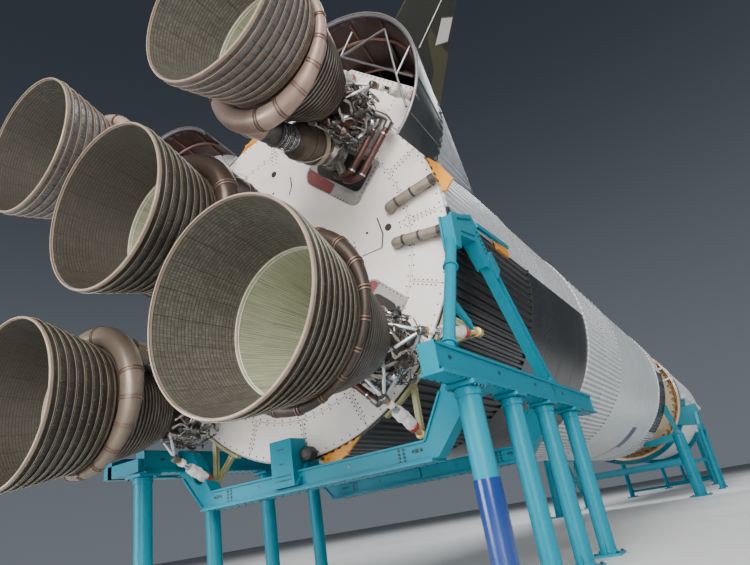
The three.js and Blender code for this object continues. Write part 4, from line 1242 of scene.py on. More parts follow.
def softOutline(outline, radius):
    spots = [Vector((0, a, b)) for a, b in outline]
    middle = (spots[0] + spots[1]) / 2
    path = rounded([middle] + spots[1:] + [spots[0], middle], radius, 4)
    return [(p.y, p.z) for p in path[:-1]]


def quarterTurns(points):
    # the same outline at all four quarters of the shield
    for c, s in ((1, 0), (0, 1), (-1, 0), (0, -1)):
        yield [(y * c - z * s, y * s + z * c) for y, z in points]


form = newForm()
spun(form, [(shield["aft"], 0), (shield["aft"], shield["radius"] - 2.5),
            (shield["aft"] + 2, shield["radius"]),
            (shield["fore"], shield["radius"]), (shield["fore"], 0)], 180, 0)
spots = []
coaming = softOutline([(26, -44), (76, -44), (81, -37), (81, 38), (72, 47), (26, 47)], 5)
opening = softOutline([(31, -38), (66, -38), (66, 29), (60, 36), (31, 36)], 9)
for key, quadY, quadZ in engines:
    y, z = quadY * engineSide, quadZ * engineSide
    ahead, side = inwardOf(quadY, quadZ)

    def corner(out, across):
        return (y + (ahead * out - side * across) * inch, z + (side * out + ahead * across) * inch)

    if quadY:
        crossPlate(form, [corner(*p) for p in coaming], shield["aft"] - 4, shield["aft"] + 1, 1)
        # the opening is a thin near-black plate: painted shade
        crossPlate(form, [corner(*p) for p in opening], shield["aft"] - 4.6, shield["aft"] - 3, 2)
        crossPlate(form, [corner(*p) for p in softOutline([(68, -2), (80, -2), (80, 37), (71, 45),
                                                           (64, 45)], 4)],
                   shield["aft"] - 4.7, shield["aft"] - 3, 6)
        for (a, b), (c, d) in zip(coaming, coaming[1:] + coaming[:1]):
            if math.hypot(c - a, d - b) < 12:
                continue
            steps = int(math.hypot(c - a, d - b) / 5)
            for i in range(steps):
                t = (i + 0.5) / steps
                point = corner((a + (c - a) * t) * 0.965 + 1.8, (b + (d - b) * t) * 0.955)
                spots.append(((shield["aft"] - 4.2, *point), (-1, 0, 0), 0.9))
    turned(form, [(0, 0), (0, 22), (1.5, 26), (shield["aft"] + 2 - 270, 26),
                  (shield["aft"] + 2 - 270, 0)], 32, 3,
           (270, y, z), (290, y, z))
    if quadY:
        ears(form, bearing, gimbalX - bearing["reach"], 272, y, z, False, 3)
skin = shield["aft"] - 0.6
for path in ([(-54, 304), (-54, 270), (-42, 247)], [(-317, 47), (-326, -4), (-316, -40),
                                                    (-256, -40)],
             [(317, 47), (326, -4), (316, -40), (256, -40)]):
    for (a, b), (c, d) in zip(path, path[1:]):
        beam(form, (skin, a, b), (skin, c, d), 3.4, 1.4, 5)
for path in quarterTurns([(-344, 8), (-280, 18)]):
    for (y, z), radius in zip(path, (10, 3.5)):
        disc(form, radius, 1, 16, 2, (skin, y, z), (skin + 1, y, z))
# orange brackets on the rim, and brown blocks where each fairing's lip meets the hull
for path in quarterTurns([(-481, 162), (-512, 121), (-537, 69), (-509, 43), (-490, 96)]):
    crossPlate(form, path, 284.5, 290, 7)
    for a, b in ((1, 3), (2, 3)):
        beam(form, (286, *path[a]), (286, *path[b]), 7, 9, 7)
for quadY, y, z in ((-1, -486, 232), (1, 486, 232), (-1, -232, 486), (1, 232, 486)):
    crossPlate(form, [(y - 20, z - 18), (y + 20, z - 18), (y + 20, z + 18), (y - 20, z + 18)],
               284.5, 330, 8)
for y, z, rimY, rimZ in ((-370, 50, -505, 72), (-370, -51, -498, -69), (370, 50, 505, 72),
                         (370, -51, 498, -69)):
    sweep(form, rounded([(274, y * 0.985, z), (256, y * 0.985, z),
                         (255, y * 1.03, z + (rimZ - z) * 0.1),
                         (255, rimY, rimZ)], 16), 12.2, 24, 4)
    along = Vector((0, rimY - y, rimZ - z)).normalized()
    for spot in (0.16, 0.5, 0.92):
        centre = Vector((255, y, z)).lerp(Vector((255, rimY, rimZ)), spot)
        sweep(form, [centre - along * 3, centre + along * 3], 13.4, 24, 5)
    tip = Vector((255, rimY, rimZ))
    sweep(form, [tip - along * 16, tip], 13.2, 24, 5)
    standY, standZ = rimY * 0.94, rimZ * 0.95
    beam(form, (262, standY, standZ), (277, standY, standZ), 14, 9, 5)
finishPiece(form, "heat_shield_panels", "rocket",
            [shieldPanels, coamingGrey, openingShadeAndBolts, gimbalSteel, pipeTan, castDark, patchRed,
             bracketGold, blockBrown],
            ["base_heat_shield"])
for radius, count in ((494, shield["rimBolts"]), (411, 96), (399, 96)):
    for c, s in ringTurns(count, 0.5):
        spots.append(((shield["aft"] - 0.2, radius * c, radius * s), (-1, 0, 0)))
for i in range(shield["spokes"]):
    for radius in range(418, 490, 12):
        for twin in (-6, 6):
            angle = 2 * math.pi * i / shield["spokes"] + twin / radius
            spots.append(((shield["aft"] - 0.2, radius * math.cos(angle), radius * math.sin(angle)),
                          (-1, 0, 0)))
for y in range(-420, 421, 14):  # straight rows that cross between the engines
    for z in (-7, 7):
        if not -372 < y < -250 and not 250 < y < 372 or abs(y) < 230:
            spots.extend([((shield["aft"] - 0.2, y, z), (-1, 0, 0)),
                          ((shield["aft"] - 0.2, z, y), (-1, 0, 0))])
addStuds(spots, "shield_bolts", "rocket", openingShadeAndBolts, 2.0, 1.8, 6)
print("heat shield drawn")

# hull: paint in quadrants, weld rings, corrugated skirts
hull = {"radius": 503.0, "sides": 180, "ridges": 144, "valley": 501.5, "crest": 507.5}


def skirtBand(tree, coords, tone, height):
    # a black band at the fore rim, with fine cross lines, on the right and the left
    ahead, across, up = aboutAxis(tree, coords)
    angle = calc(tree, "MULTIPLY", calc(tree, "ARCTAN2", up, across), 180 / math.pi)
    turn = calc(tree, "MODULO", calc(tree, "ADD", angle, 362.0), 180.0)
    inside = calc(tree, "MULTIPLY", calc(tree, "LESS_THAN", turn, 51.0),
                  calc(tree, "GREATER_THAN", ahead, (3620 - middleX) / 1000))
    ticks = fade(tree, calc(tree, "ABSOLUTE", calc(tree, "SUBTRACT", calc(
        tree, "FRACT", calc(tree, "MULTIPLY", turn, 0.5)), 0.5)), 0.40, 0.46)
    ink = blendColour(tree, ticks, (0.012, 0.014, 0.02), (0.09, 0.10, 0.12))
    return blendColour(tree, inside, tone, ink), height


def quadrantPaint(low, high):
    def pattern(tree, coords, tone, height):
        ahead, across, up = aboutAxis(tree, coords)
        black = fade(tree, calc(tree, "MULTIPLY", across, up), -0.0002, 0.0002)
        inside = calc(tree, "MULTIPLY", calc(tree, "GREATER_THAN", ahead, (low - middleX) / 1000),
                      calc(tree, "LESS_THAN", ahead, (high - middleX) / 1000))
        rub = addNode(tree, "TexNoise", {"Vector": coords["Object"], "Scale": 5.0, "Detail": 6.0})
        ink = blendColour(tree, fade(tree, rub.outputs[0], 0.4, 0.7), (0.006, 0.006, 0.0065),
                          (0.016, 0.016, 0.017))
        return blendColour(tree, calc(tree, "MULTIPLY", black, inside), tone, ink), height
    return pattern


def stripePaint(tree, coords, tone, height):
    # a faded red and a blue stripe on the right side, blank
    ahead, across, up = aboutAxis(tree, coords)
    angle = calc(tree, "MULTIPLY", calc(tree, "ARCTAN2", up, across), 180 / math.pi)

    def span(value, low, high, soft):
        return calc(tree, "MULTIPLY", fade(tree, value, low - soft, low + soft),
                    calc(tree, "SUBTRACT", 1.0, fade(tree, value, high - soft, high + soft)))

    faded = addNode(tree, "TexNoise", {"Vector": coords["Object"], "Scale": 14.0,
                                       "Detail": 5.0}).outputs[0]
    # the stripe leans a little along the tank
    lean = calc(tree, "MULTIPLY_ADD", angle, -0.0016, -0.19)
    place = calc(tree, "ADD", ahead, lean)
    red = calc(tree, "MULTIPLY", span(place, -2.375, -2.285, 0.003), span(angle, -112, -88, 0.3))
    red = calc(tree, "MULTIPLY", red, calc(tree, "MULTIPLY_ADD", faded, 0.6, 0.35))
    blue = calc(tree, "MULTIPLY", span(place, -2.35, -2.21, 0.003), span(angle, -132, -112, 0.3))
    blue = calc(tree, "MULTIPLY", blue, calc(tree, "MULTIPLY_ADD", faded, 0.2, 0.86))
    tone = blendColour(tree, red, tone, (0.36, 0.09, 0.09))
    return blendColour(tree, blue, tone, (0.008, 0.010, 0.075)), height


hullPaint = makeFinish("hull_paint", (0.62, 0.62, 0.635), (0.49, 0.50, 0.52), 0.30, 0.0, 0.7, 2.2,
                       grain=40, spread=0.06, depth=0.0002, pattern=quadrantPaint(284, 1605))
# dark lines in the valleys between the ridges: painted shade
grooveShade = lined(144, 0, 0.42, (0.20, 0.21, 0.23), 0.0, 0.62)
hullRibbed = makeFinish("hull_ribbed", (0.57, 0.57, 0.585), (0.45, 0.46, 0.48), 0.32, 0.0, 0.7, 2.2,
                        grain=40, spread=0.06, depth=0.0002, pattern=layered(grooveShade,
                                                                   quadrantPaint(284, 1605)))
tankPaint = makeFinish("tank_paint", (0.62, 0.635, 0.64), (0.51, 0.53, 0.55), 0.36, 0.0, 0.6, 1.8,
                       grain=40, spread=0.08, coat=0.1, pattern=stripePaint)
ribbedWhite = makeFinish("ribbed_white", (0.74, 0.75, 0.75), (0.60, 0.62, 0.64), 0.4, 0.0, 0.7, 3,
                         grain=60, pattern=grooveShade)
skirtPaint = makeFinish("skirt_paint", (0.72, 0.72, 0.71), (0.58, 0.59, 0.60), 0.42, 0.0, 0.7, 3,
                        pattern=layered(grooveShade, skirtBand))
domeCream = makeFinish("dome_cream", (0.66, 0.60, 0.46), (0.50, 0.43, 0.30), 0.5, 0.0, 0.7, 5)


def evenHull(x):
    return hull["radius"]


def taper(x0, r0, x1, r1):
    return lambda x: r0 + (r1 - r0) * (x - x0) / (x1 - x0)


groove = {"depth": 0.7, "half": 1.6, "bevel": 0.4}


def grooved(profile, stations, radiusAt):
    # weld grooves round a shell
    half, bevel = groove["half"], groove["bevel"]
    for x in stations:
        r = radiusAt(x)
        low = r - groove["depth"]
        profile += [(x - half, r), (x - half + bevel, low), (x + half - bevel, low), (x + half, r)]
    return profile


def ridgedShell(form, x0, x1, bore, finish=0, boreFinish=0):
    count = hull["ridges"]
    ridge = [(-0.36, hull["valley"]), (-0.2, hull["crest"]), (0.2, hull["crest"]),
             (0.36, hull["valley"])]
    outer, inner = [], []
    for i in range(count):
        for share, radius in ridge:
            angle = 2 * math.pi * (i + share + 0.5) / count
            outer.append((radius * math.cos(angle), radius * math.sin(angle)))
            inner.append((bore * math.cos(angle), bore * math.sin(angle)))
    size = len(outer)
    rows = [(x0, inner), (x0, outer), (x0 + (x1 - x0) / 3, outer), (x0 + (x1 - x0) * 2 / 3, outer),
            (x1, outer), (x1, inner)]
    points = [(x, y, z) for x, ring in rows for y, z in ring]
    faces, uvs, marks = [], [], []
    for row in range(len(rows)):
        nextRow = (row + 1) % len(rows)
        for i in range(size):
            j = (i + 1) % size
            faces.append([row * size + i, row * size + j, nextRow * size + j, nextRow * size + i])
            uvs.append([(i / size, rows[row][0] / 1000), ((i + 1) / size, rows[row][0] / 1000),
                        ((i + 1) / size, rows[nextRow][0] / 1000),
                        (i / size, rows[nextRow][0] / 1000)])
            marks.append(boreFinish if row == len(rows) - 1 else finish)
    addPatch(form, points, faces, marks, uvs)


form = newForm()
ridgedShell(form, 284.5, 888, 470)
for x in (292, 880):
    hoop(form, x - 6, x + 6, 499, 508, hull["sides"])
finishPiece(form, "thrust_structure_skin", "rocket", [hullRibbed],
            ["thrust_structure"])
form = newForm()
profile = grooved([(888.3, 440), (888.3, 503)], (1060, 1240, 1420), evenHull)
spun(form, profile + [(1605, 503), (1605, 440), (888.3, 440)], hull["sides"])
finishPiece(form, "fuel_tank_skin", "rocket", [hullPaint], ["fuel_tank"])
form = newForm()
ridgedShell(form, 1605.3, 2290, 470)
for x in (1613, 1950, 2282):
    hoop(form, x - 4, x + 4, 499, 508, hull["sides"])
for i in range(9):  # a row of small dark vents high on the right side
    x, angle = 1660 + 72 * i, math.radians(158)
    prism(form, [(x + a, 508 * math.cos(angle + b), 508 * math.sin(angle + b)) for a, b in
                 ((-9, -0.012), (9, -0.012), (9, 0.012), (-9, 0.012))],
          (0, 2.4 * math.cos(angle), 2.4 * math.sin(angle)), 1)
finishPiece(form, "intertank_skin", "rocket", [ribbedWhite, castDark], ["intertank"])
form = newForm()
profile = grooved([(2290.3, 440), (2290.3, 503)], (2480, 2760, 3040, 3320), evenHull)
profile += [(3607, 503), (3607, 492)]
marks = [0] * (len(profile) - 1)
for i in range(13):
    angle = math.pi / 2 * i / 12
    profile.append((3627 + 255 * math.sin(angle), 491 * math.cos(angle) if i < 12 else 0))
    marks.append(1)
spun(form, profile, hull["sides"], marks)
for c, s in ringTurns(12):
    path = [(3627 + 256 * math.sin(math.pi / 2 * j / 14), 492 * math.cos(math.pi / 2 * j / 14) * c,
             492 * math.cos(math.pi / 2 * j / 14) * s) for j in range(14)]
    sweep(form, path, 1.6, 6, 1)
hoop(form, 3872, 3886, 40, 62, 48, 1)
finishPiece(form, "oxidizer_tank_skin", "rocket", [tankPaint, domeCream],
            ["oxidizer_tank"])
form = newForm()
ridgedShell(form, 3607.3, 3914, 494, 0, 1)
for x in (3614, 3905):
    hoop(form, x - 5, x + 5, 499, 508, hull["sides"])
for x in (3680, 3760, 3840, 3900):
    spun(form, [(x - 4, 494.5), (x - 4, 480), (x + 4, 480), (x + 4, 494.5), (x - 4, 494.5)], 120, 1)
for side in (-1, 1):  # lifting loops at the fore rim, and a toothed edge strip
    sweep(form, rounded([(3900, side * y, z) for y, z in ((505, 56), (538, 58), (560, 16),
                                                          (556, -26), (505, -34))], 14),
          7, 12, 2)
for c, s in ringTurns(120):
    beam(form, (3911, 500 * c, 500 * s), (3917, 500 * c, 500 * s), 10, 7, 1)
finishPiece(form, "forward_skirt_skin", "rocket", [skirtPaint, domeCream, hullPaint],
            ["forward_skirt"])
print("first stage drawn")

# engine fairings and fins
fairing = {"aft": 123, "fore": 846, "aftRadius": 255, "foreRadius": 175, "fullFore": 860,
           "aftCentre": 462.3, "foreCentre": 330, "wall": 3.4, "hull": 509.4}
fairingOut = makeFinish("fairing_outside", (0.022, 0.027, 0.033), (0.04, 0.04, 0.037), 0.38, 0.3,
                        0.7, 8)
fairingRibbed = makeFinish("fairing_ribbed", (0.40, 0.41, 0.45), (0.28, 0.28, 0.31), 0.42, 0.15,
                           0.6, 8)
fairingIn = makeFinish("fairing_inside", (0.042, 0.019, 0.017), (0.035, 0.021, 0.018), 0.55, 0.3,
                       0.8, 9, pattern=lined(36, 14, 0.04, (0.04, 0.02, 0.018), -0.0006))
lipGrey = makeFinish("lip_grey", (0.16, 0.155, 0.165), (0.09, 0.08, 0.08), 0.4, 0.6, 0.7, 20)
finOlive = makeFinish("fin_olive", (0.024, 0.024, 0.018), (0.02, 0.02, 0.015), 0.42, 0.4, 0.7, 6)
finGold = makeFinish("fin_gold", (0.066, 0.060, 0.028), (0.05, 0.048, 0.026), 0.42, 0.45, 0.7, 6)
seamPale = makeFinish("seam_pale", (0.5, 0.5, 0.42), (0.34, 0.34, 0.28), 0.4, 0.3, 0.6, 20)
plateWhite = makeFinish("plate_white", (0.50, 0.49, 0.46), (0.38, 0.37, 0.34), 0.5, 0.0, 0.6, 20)


def fairingCone(x):
    # radius of the cone and distance of its centre from the stage's axis
    return (taper(fairing["aft"], fairing["aftRadius"], fairing["fullFore"],
                  fairing["foreRadius"])(x),
            taper(fairing["aft"], fairing["aftCentre"], fairing["fullFore"],
                  fairing["foreCentre"])(x))


def fairingAt(x, turn, shrink, lift=0.0):
    # a point of the half cone in (x, outward, sideways); turn goes from -1 at one hull line to 1
    # at the other
    radius, centre = fairingCone(x)
    radius += lift - shrink
    bound = (fairing["hull"] ** 2 - centre ** 2 - radius ** 2) / (2 * centre * radius)
    angle = math.acos(max(-1.0, min(1.0, bound))) * turn
    return (x, centre + radius * math.cos(angle), radius * math.sin(angle))


def outwardFrame(form, degrees):
    c, s = math.cos(math.radians(degrees)), math.sin(math.radians(degrees))
    return moved(form, lambda p: (p[0], p[1] * c - p[2] * s, p[1] * s + p[2] * c))


def drawFairing():
    form = newForm()
    rows = 24
    stations = [fairing["aft"] + (fairing["fore"] - fairing["aft"]) * i / rows
                for i in range(rows + 1)]
    ribbedFrom = 0.27
    for shrink, finish, columns in ((0.0, None, 152), (fairing["wall"], 1, 48)):
        points, faces, marks, uvs = [], [], [], []
        for x in stations:
            share = (x - fairing["aft"]) / (fairing["fore"] - fairing["aft"])
            for j in range(columns + 1):
                lift = 0.0
                if finish is None and share > ribbedFrom and 1 < j < columns - 1:
                    lift = 3.0 if j % 4 < 2 else 0.0
                points.append(fairingAt(x, -1 + 2 * j / columns, shrink, lift))
        for i in range(rows):
            for j in range(columns):
                a = i * (columns + 1) + j
                faces.append([a, a + 1, a + columns + 2, a + columns + 1])
                uvs.append([(j / columns, stations[i] / 1000),
                            ((j + 1) / columns, stations[i] / 1000),
                            ((j + 1) / columns, stations[i + 1] / 1000),
                            (j / columns, stations[i + 1] / 1000)])
                marks.append(finish if finish is not None else (2 if i / rows >= ribbedFrom else 0))
        addPatch(form, points, faces, marks, uvs)
    # rims that close the wall
    columns = 72
    for edge in ([(stations[0], -1 + 2 * j / columns) for j in range(columns + 1)],
                 [(x, 1.0) for x in stations], [(stations[-1], 1 - 2 * j / columns)
                                                for j in range(columns + 1)],
                 [(x, -1.0) for x in reversed(stations)]):
        points = [fairingAt(x, t, 0.0) for x, t in edge] + [fairingAt(x, t, fairing["wall"]) for x,
                                                            t in edge]
        n = len(edge)
        addPatch(form, points, [[i, i + 1, n + i + 1, n + i] for i in range(n - 1)], 3)
    # thick lip at the mouth
    lip = [fairingAt(fairing["aft"] + 5, -0.995 + 1.99 * j / 60, 5.5) for j in range(61)]
    sweep(form, lip, 5.0, 8, 3)
    for x, shrink in ((200, 7), (300, 8), (410, 8), (530, 8)):
        ring = [fairingAt(x, -0.97 + 1.94 * j / 40, shrink) for j in range(41)]
        sweep(form, ring, 4.2, 6, 4)
    for j in range(-3, 4):  # stringers inside
        path = [fairingAt(x, j * 0.27, 6) for x in (150, 300, 450, 600)]
        sweep(form, path, 3.0, 5, 4)
    for j in range(-4, 5):  # raised lap seams outside, on the plain part
        path = [fairingAt(x, j * 0.215, 0, 0.6) for x in (130, 200, 260, 315)]
        sweep(form, path, 1.3, 5, 3)
    for j in range(26):  # small teeth where the plain skin ends
        x, out, across = fairingAt(322, -0.96 + 1.92 * j / 25, -0.6)
        beam(form, (x - 5, out, across), (x + 5, out, across), 9, 4, 3)
    return form


# white panel that carries the heat shield on into a fairing, cut straight on its outer side
closure = {"aft": 271.6, "fore": 274.6, "rim": 503.4, "reach": 612.0, "boltStep": 17.0}


def drawClosure(spots, degrees):
    radius, centre = fairingCone(closure["aft"])
    radius -= fairing["wall"] + 0.4
    low = math.acos((closure["rim"] ** 2 - centre ** 2 - radius ** 2) / (2 * centre * radius))
    high = math.acos((closure["reach"] - centre) / radius)
    wall = [(centre + radius * math.cos(high + (low - high) * i / 12),
             radius * math.sin(high + (low - high) * i / 12))
            for i in range(13)]
    end = math.atan2(wall[-1][1], wall[-1][0])
    rim = [(closure["rim"] * math.cos(end * (1 - i / 12)),
            closure["rim"] * math.sin(end * (1 - i / 12)))
           for i in range(25)]
    outline = wall + rim[1:-1] + [(out, -across) for out, across in reversed(wall)]
    form = newForm()
    crossPlate(form, outline, closure["aft"], closure["fore"])
    c, s = math.cos(math.radians(degrees)), math.sin(math.radians(degrees))
    rows = [(closure["reach"] - 5, closure["boltStep"] * i) for i in range(-8, 9)]
    rows += [((closure["rim"] + 6) * math.cos(0.045 * i),
              (closure["rim"] + 6) * math.sin(0.045 * i))
             for i in range(-9, 10)]
    rows += [(out, side * 52) for out in range(520, 606, 14) for side in (-1, 1)]
    for out, across in rows:
        spots.append(((closure["aft"] - 0.2, out * c - across * s, out * s + across * c),
                      (-1, 0, 0)))
    return outwardFrame(form, degrees)


fin = {"outline": [(186, 691), (186, 960), (332, 960), (559, 595), (551, 577), (200, 684)],
       "thick": 7.0, "centre": (320, 790), "chamfer": 0.16,
       "gold": [(312, 800), (331, 797), (401, 793), (430, 797), (550, 604), (470, 622), (409, 726),
                (319, 775)],
       "seam": [(296, 900), (309, 737)], "plate": [(329, 846), (371, 878), (404, 815), (362, 774)],
       "plateMiddle": (366.5, 828)}
# light truss of rods across the mouth of a fairing: points in the plane just inside it
truss = {"x": 152, "points": {"a": (362, 478), "b": (503, 477), "c": (507, 321), "d": (561, 383),
                              "e": (549, 289), "f": (514, 219), "g": (409, 532)},
         "rods": ("ab", "bc", "cd", "ae", "ag", "cf")}


def drawFin(form, finish):
    # a thin slab whose free edges are chamfered down to a third of its thickness
    outline, centre, n = fin["outline"], fin["centre"], len(fin["outline"])
    edges = []
    for side in (-1, 1):
        edge = [(x, r, side * fin["thick"] * 0.35 if r > 690 else side * fin["thick"]) for x,
                r in outline]
        inset = [(x + (centre[0] - x) * fin["chamfer"], r + (centre[1] - r) * fin["chamfer"],
                  side * fin["thick"])
                 for x, r in outline]
        faces = []
        for i in range(n):
            j = (i + 1) % n
            faces.append([i, j, n + j, n + i] if side > 0 else [i, n + i, n + j, j])
        faces.append(list(range(n, 2 * n)) if side > 0 else list(range(n, 2 * n))[::-1])
        addPatch(form, edge + inset, faces, finish)
        edges += edge
    addPatch(form, edges, [[i, (i + 1) % n, n + (i + 1) % n, n + i] for i in range(n)], finish)


for key, degrees in (("left", 45), ("right", 135)):
    form = drawFairing()
    drawFin(form, 5)
    for side in (-1, 1):
        thick = side * fin["thick"]
        prism(form, [(x, r, side * (fin["thick"] - 1)) for x, r in fin["gold"]], (0, 0, side * 1.2),
              6)
        sweep(form, [(x, r, thick) for x, r in fin["seam"]], 1.5, 6, 7)
        middle = fin["plateMiddle"]
        for grow, low, high, finish in ((1.0, 0.0, 1.0, 9), (0.9, 0.9, 0.5, 8)):
            prism(form, [(middle[0] + (x - middle[0]) * grow, middle[1] + (r - middle[1]) * grow,
                          thick + side * low) for x, r in fin["plate"]], (0, 0, side * high),
                  finish)
    form = outwardFrame(form, degrees)
    way = 1 if key == "left" else -1
    for first, last in truss["rods"]:
        sweep(form, [(truss["x"], way * truss["points"][end][0], truss["points"][end][1])
                     for end in (first, last)], 3.2, 8, 3)
    finishPiece(form, "engine_fairing_" + key, "rocket",
                [fairingOut, fairingIn, fairingRibbed, lipGrey, blockBrown, finOlive, finGold,
                 seamPale, plateWhite, castDark], ["fairing_" + key], angle=25)
spots = []
for key, degrees in (("left", 45), ("right", 135)):
    finishPiece(drawClosure(spots, degrees), "fairing_closure_" + key, "rocket",
                [shieldPanels])
addStuds(spots, "closure_bolts", "rocket", openingShadeAndBolts, 2.0, 1.8, 6)
print("fairings drawn")

# second stage: copper rim, cream thrust cone with golden ribs, five smaller engines
copperRim = makeFinish("copper_rim", (0.66, 0.38, 0.22), (0.46, 0.24, 0.14), 0.4, 0.5, 0.7, 20)
coneCream = makeFinish("cone_cream", (0.80, 0.72, 0.54), (0.64, 0.55, 0.38), 0.5, 0.0, 0.7, 8)
ribGold = makeFinish("rib_gold", (0.46, 0.27, 0.15), (0.30, 0.17, 0.09), 0.45, 0.4, 0.7, 20)
secondWhite = makeFinish("second_white", (0.74, 0.74, 0.75), (0.62, 0.63, 0.66), 0.45, 0.0, 0.6,
                         2.5, grain=60, pattern=lined(72, 0, 0.012, (0.5, 0.5, 0.52), -0.0003))
smallBellMetal = makeFinish("small_bell_metal", (0.42, 0.40, 0.37), (0.22, 0.19, 0.17), 0.4, 0.8,
                            0.7, 14, pattern=lined(120, 0, 0.3, (0.2, 0.18, 0.16), -0.0004))
form = newForm()
spun(form, [(4767.6, 0), (4767.6, 268), (4769, 274), (5040, 478), (5040, 490), (4840, 490),
            (4828.5, 491),
            (4828.5, 506), (4830, 508), (4842.5, 508), (4842.5, 503), (4856, 503), (4856, 504.5),
            (4866, 504.5), (4866, 503), (5052, 503), (5052, 0)], 144,
     [1, 1, 1, 1, 1, 0, 0, 0, 0, 0, 0, 3, 3, 3, 3, 3])
for c, s in ringTurns(48):
    beam(form, (4858, 487 * c, 487 * s), (4978, 431 * c, 431 * s), 12, 9, 2)
    beam(form, (4829, 499 * c, 499 * s), (4823, 499 * c, 499 * s), 10, 12, 4)
    beam(form, (4900, 366 * c, 366 * s), (4990, 434 * c, 434 * s), 4, 3, 4)
spun(form, [(5000, 447), (5000, 455), (5008, 461), (5008, 453), (5000, 447)], 96, 2)
smallGimbal, smallSide = 4737.0, 266.7 * math.sqrt(0.5)
for key, quadY, quadZ in engines:
    y, z = quadY * smallSide, quadZ * smallSide
    fore = 4880 if quadY else 4770
    turned(form, [(0, 0), (0, 14), (1.5, 17), (fore - 4749, 17), (fore - 4749, 0)], 24, 1,
           (4749, y, z), (4760, y, z))
    if quadY:
        ears(form, smallBearing, smallGimbal - smallBearing["reach"], 4751, y, z, False, 2)
finishPiece(form, "second_stage_tail", "rocket",
            [copperRim, coneCream, ribGold, secondWhite, bandCream],
            ["second_stage_thrust_cone"])


def drawSmallEngine():
    form = newForm()
    outer = [(7, 0), (7, 8.6), (8, 10), (11, 10.2), (11.2, 11.2), (13, 11.2), (13.2, 10.2),
             (20, 10.4), (23, 9.6), (26, 8.0), (28.6, 7.6)]
    outer += [(34, 10.6), (40, 14.8), (46, 18.4), (52, 21.6)]
    wall = [(52, 21.6), (66, 27.2), (85, 33.0), (105, 37.2), (124.4, 40.0)]
    for t in (58, 64, 70, 76, 82, 88, 94, 100, 106, 112, 118):
        r = wallAt(t, wall)
        outer += [(t - 0.6, r), (t - 0.5, r + 1.0), (t + 0.5, r + 1.0), (t + 0.6, r + 0.05)]
    outer += [(124, 40.0), (124.1, 40.4), (125, 40.4), (125, 39.2)]
    marks = [1] * 10 + [0] * (len(outer) - 11)
    bore = [(105, 36.2), (85, 32), (66, 26), (52, 20.5), (40, 13.6), (34, 9.2), (29, 6.2), (28, 4),
            (28, 0)]
    profile = outer + bore
    marks = (marks + [0] * len(profile))[:len(profile) - 1]
    spun(form, [(smallGimbal - t * inch, r * inch) for t, r in profile], 72, marks)
    ring = [(smallGimbal - 64 * inch, 31.4 * inch * c, 31.4 * inch * s) for c, s in ringTurns(48)]
    sweep(form, ring, 3.4 * inch, 10, 2, closed=True)  # exhaust manifold
    turned(form, [(0, 0), (0, 12), (3, 17), (20, 17), (21, 15), (40, 15), (41, 17), (62, 17),
                  (68, 13), (68, 0)], 24, 1,
           (smallGimbal - 24, 48, 0), (smallGimbal - 92, 48, 0))
    beam(form, (smallGimbal - 44, 0, 0), (smallGimbal - 44, 48, 0), 14, 24, 1)
    sweep(form, flowing([(smallGimbal - 90, 48, 0), (smallGimbal - 120, 62, 10),
                         (smallGimbal - 163, 80, 12)], 6), 7,
          12, 2)
    sweep(form, rounded([(smallGimbal - 28, -20, 12), (smallGimbal - 60, -40, 20),
                         (smallGimbal - 110, -54, 26)], 20),
          5, 10, 1)
    return form


smallForm = drawSmallEngine()
for key, quadY, quadZ in engines:
    y, z = quadY * smallSide, quadZ * smallSide
    form = atEngine(smallForm, quadY, quadZ, smallSide)
    body = bodyOf(key, "small_engine_")
    if quadY:
        ears(form, smallBearing, smallGimbal - 19, smallGimbal + smallBearing["reach"], y, z, True,
             1)
        h = smallBearing["half"]
        crossForm = newForm()
        crossPlate(crossForm, octagon(y, z, h, 1.5), smallGimbal - h, smallGimbal + h)
        finishPiece(crossForm, "second_gimbal_block_" + key, "small_cross_" + key,
                    [gimbalSteel], ["second_cross_" + key], bevel=0.6)
    else:
        sweep(form, [(smallGimbal - 19, y, z), (smallGimbal + 11.7, y, z)], 10, 16, 1)
    finishPiece(form, "second_stage_engine_" + key, body,
                [smallBellMetal, pumpMetal, brightSteel], ["second_engine_" + key])
print("second-stage engines placed")

# second-stage tank and everything forward of it
upperWhite = makeFinish("upper_white", (0.74, 0.74, 0.75), (0.62, 0.63, 0.66), 0.42, 0.0, 0.6, 2.5,
                        grain=60)
upperBlack = makeFinish("upper_black", (0.02, 0.02, 0.022), (0.045, 0.045, 0.048), 0.4, 0.0, 0.6, 4)
foilSilver = makeFinish("foil_silver", (0.66, 0.67, 0.68), (0.45, 0.46, 0.48), 0.3, 0.9, 0.7, 26,
                        depth=0.0012, pattern=lined(24, 12, 0.03, (0.3, 0.3, 0.31), -0.0005))
capsuleSkin = makeFinish("capsule_skin", (0.60, 0.60, 0.61), (0.40, 0.40, 0.42), 0.35, 0.7, 0.7, 18,
                         pattern=lined(16, 20, 0.03, (0.22, 0.22, 0.23), -0.0005))


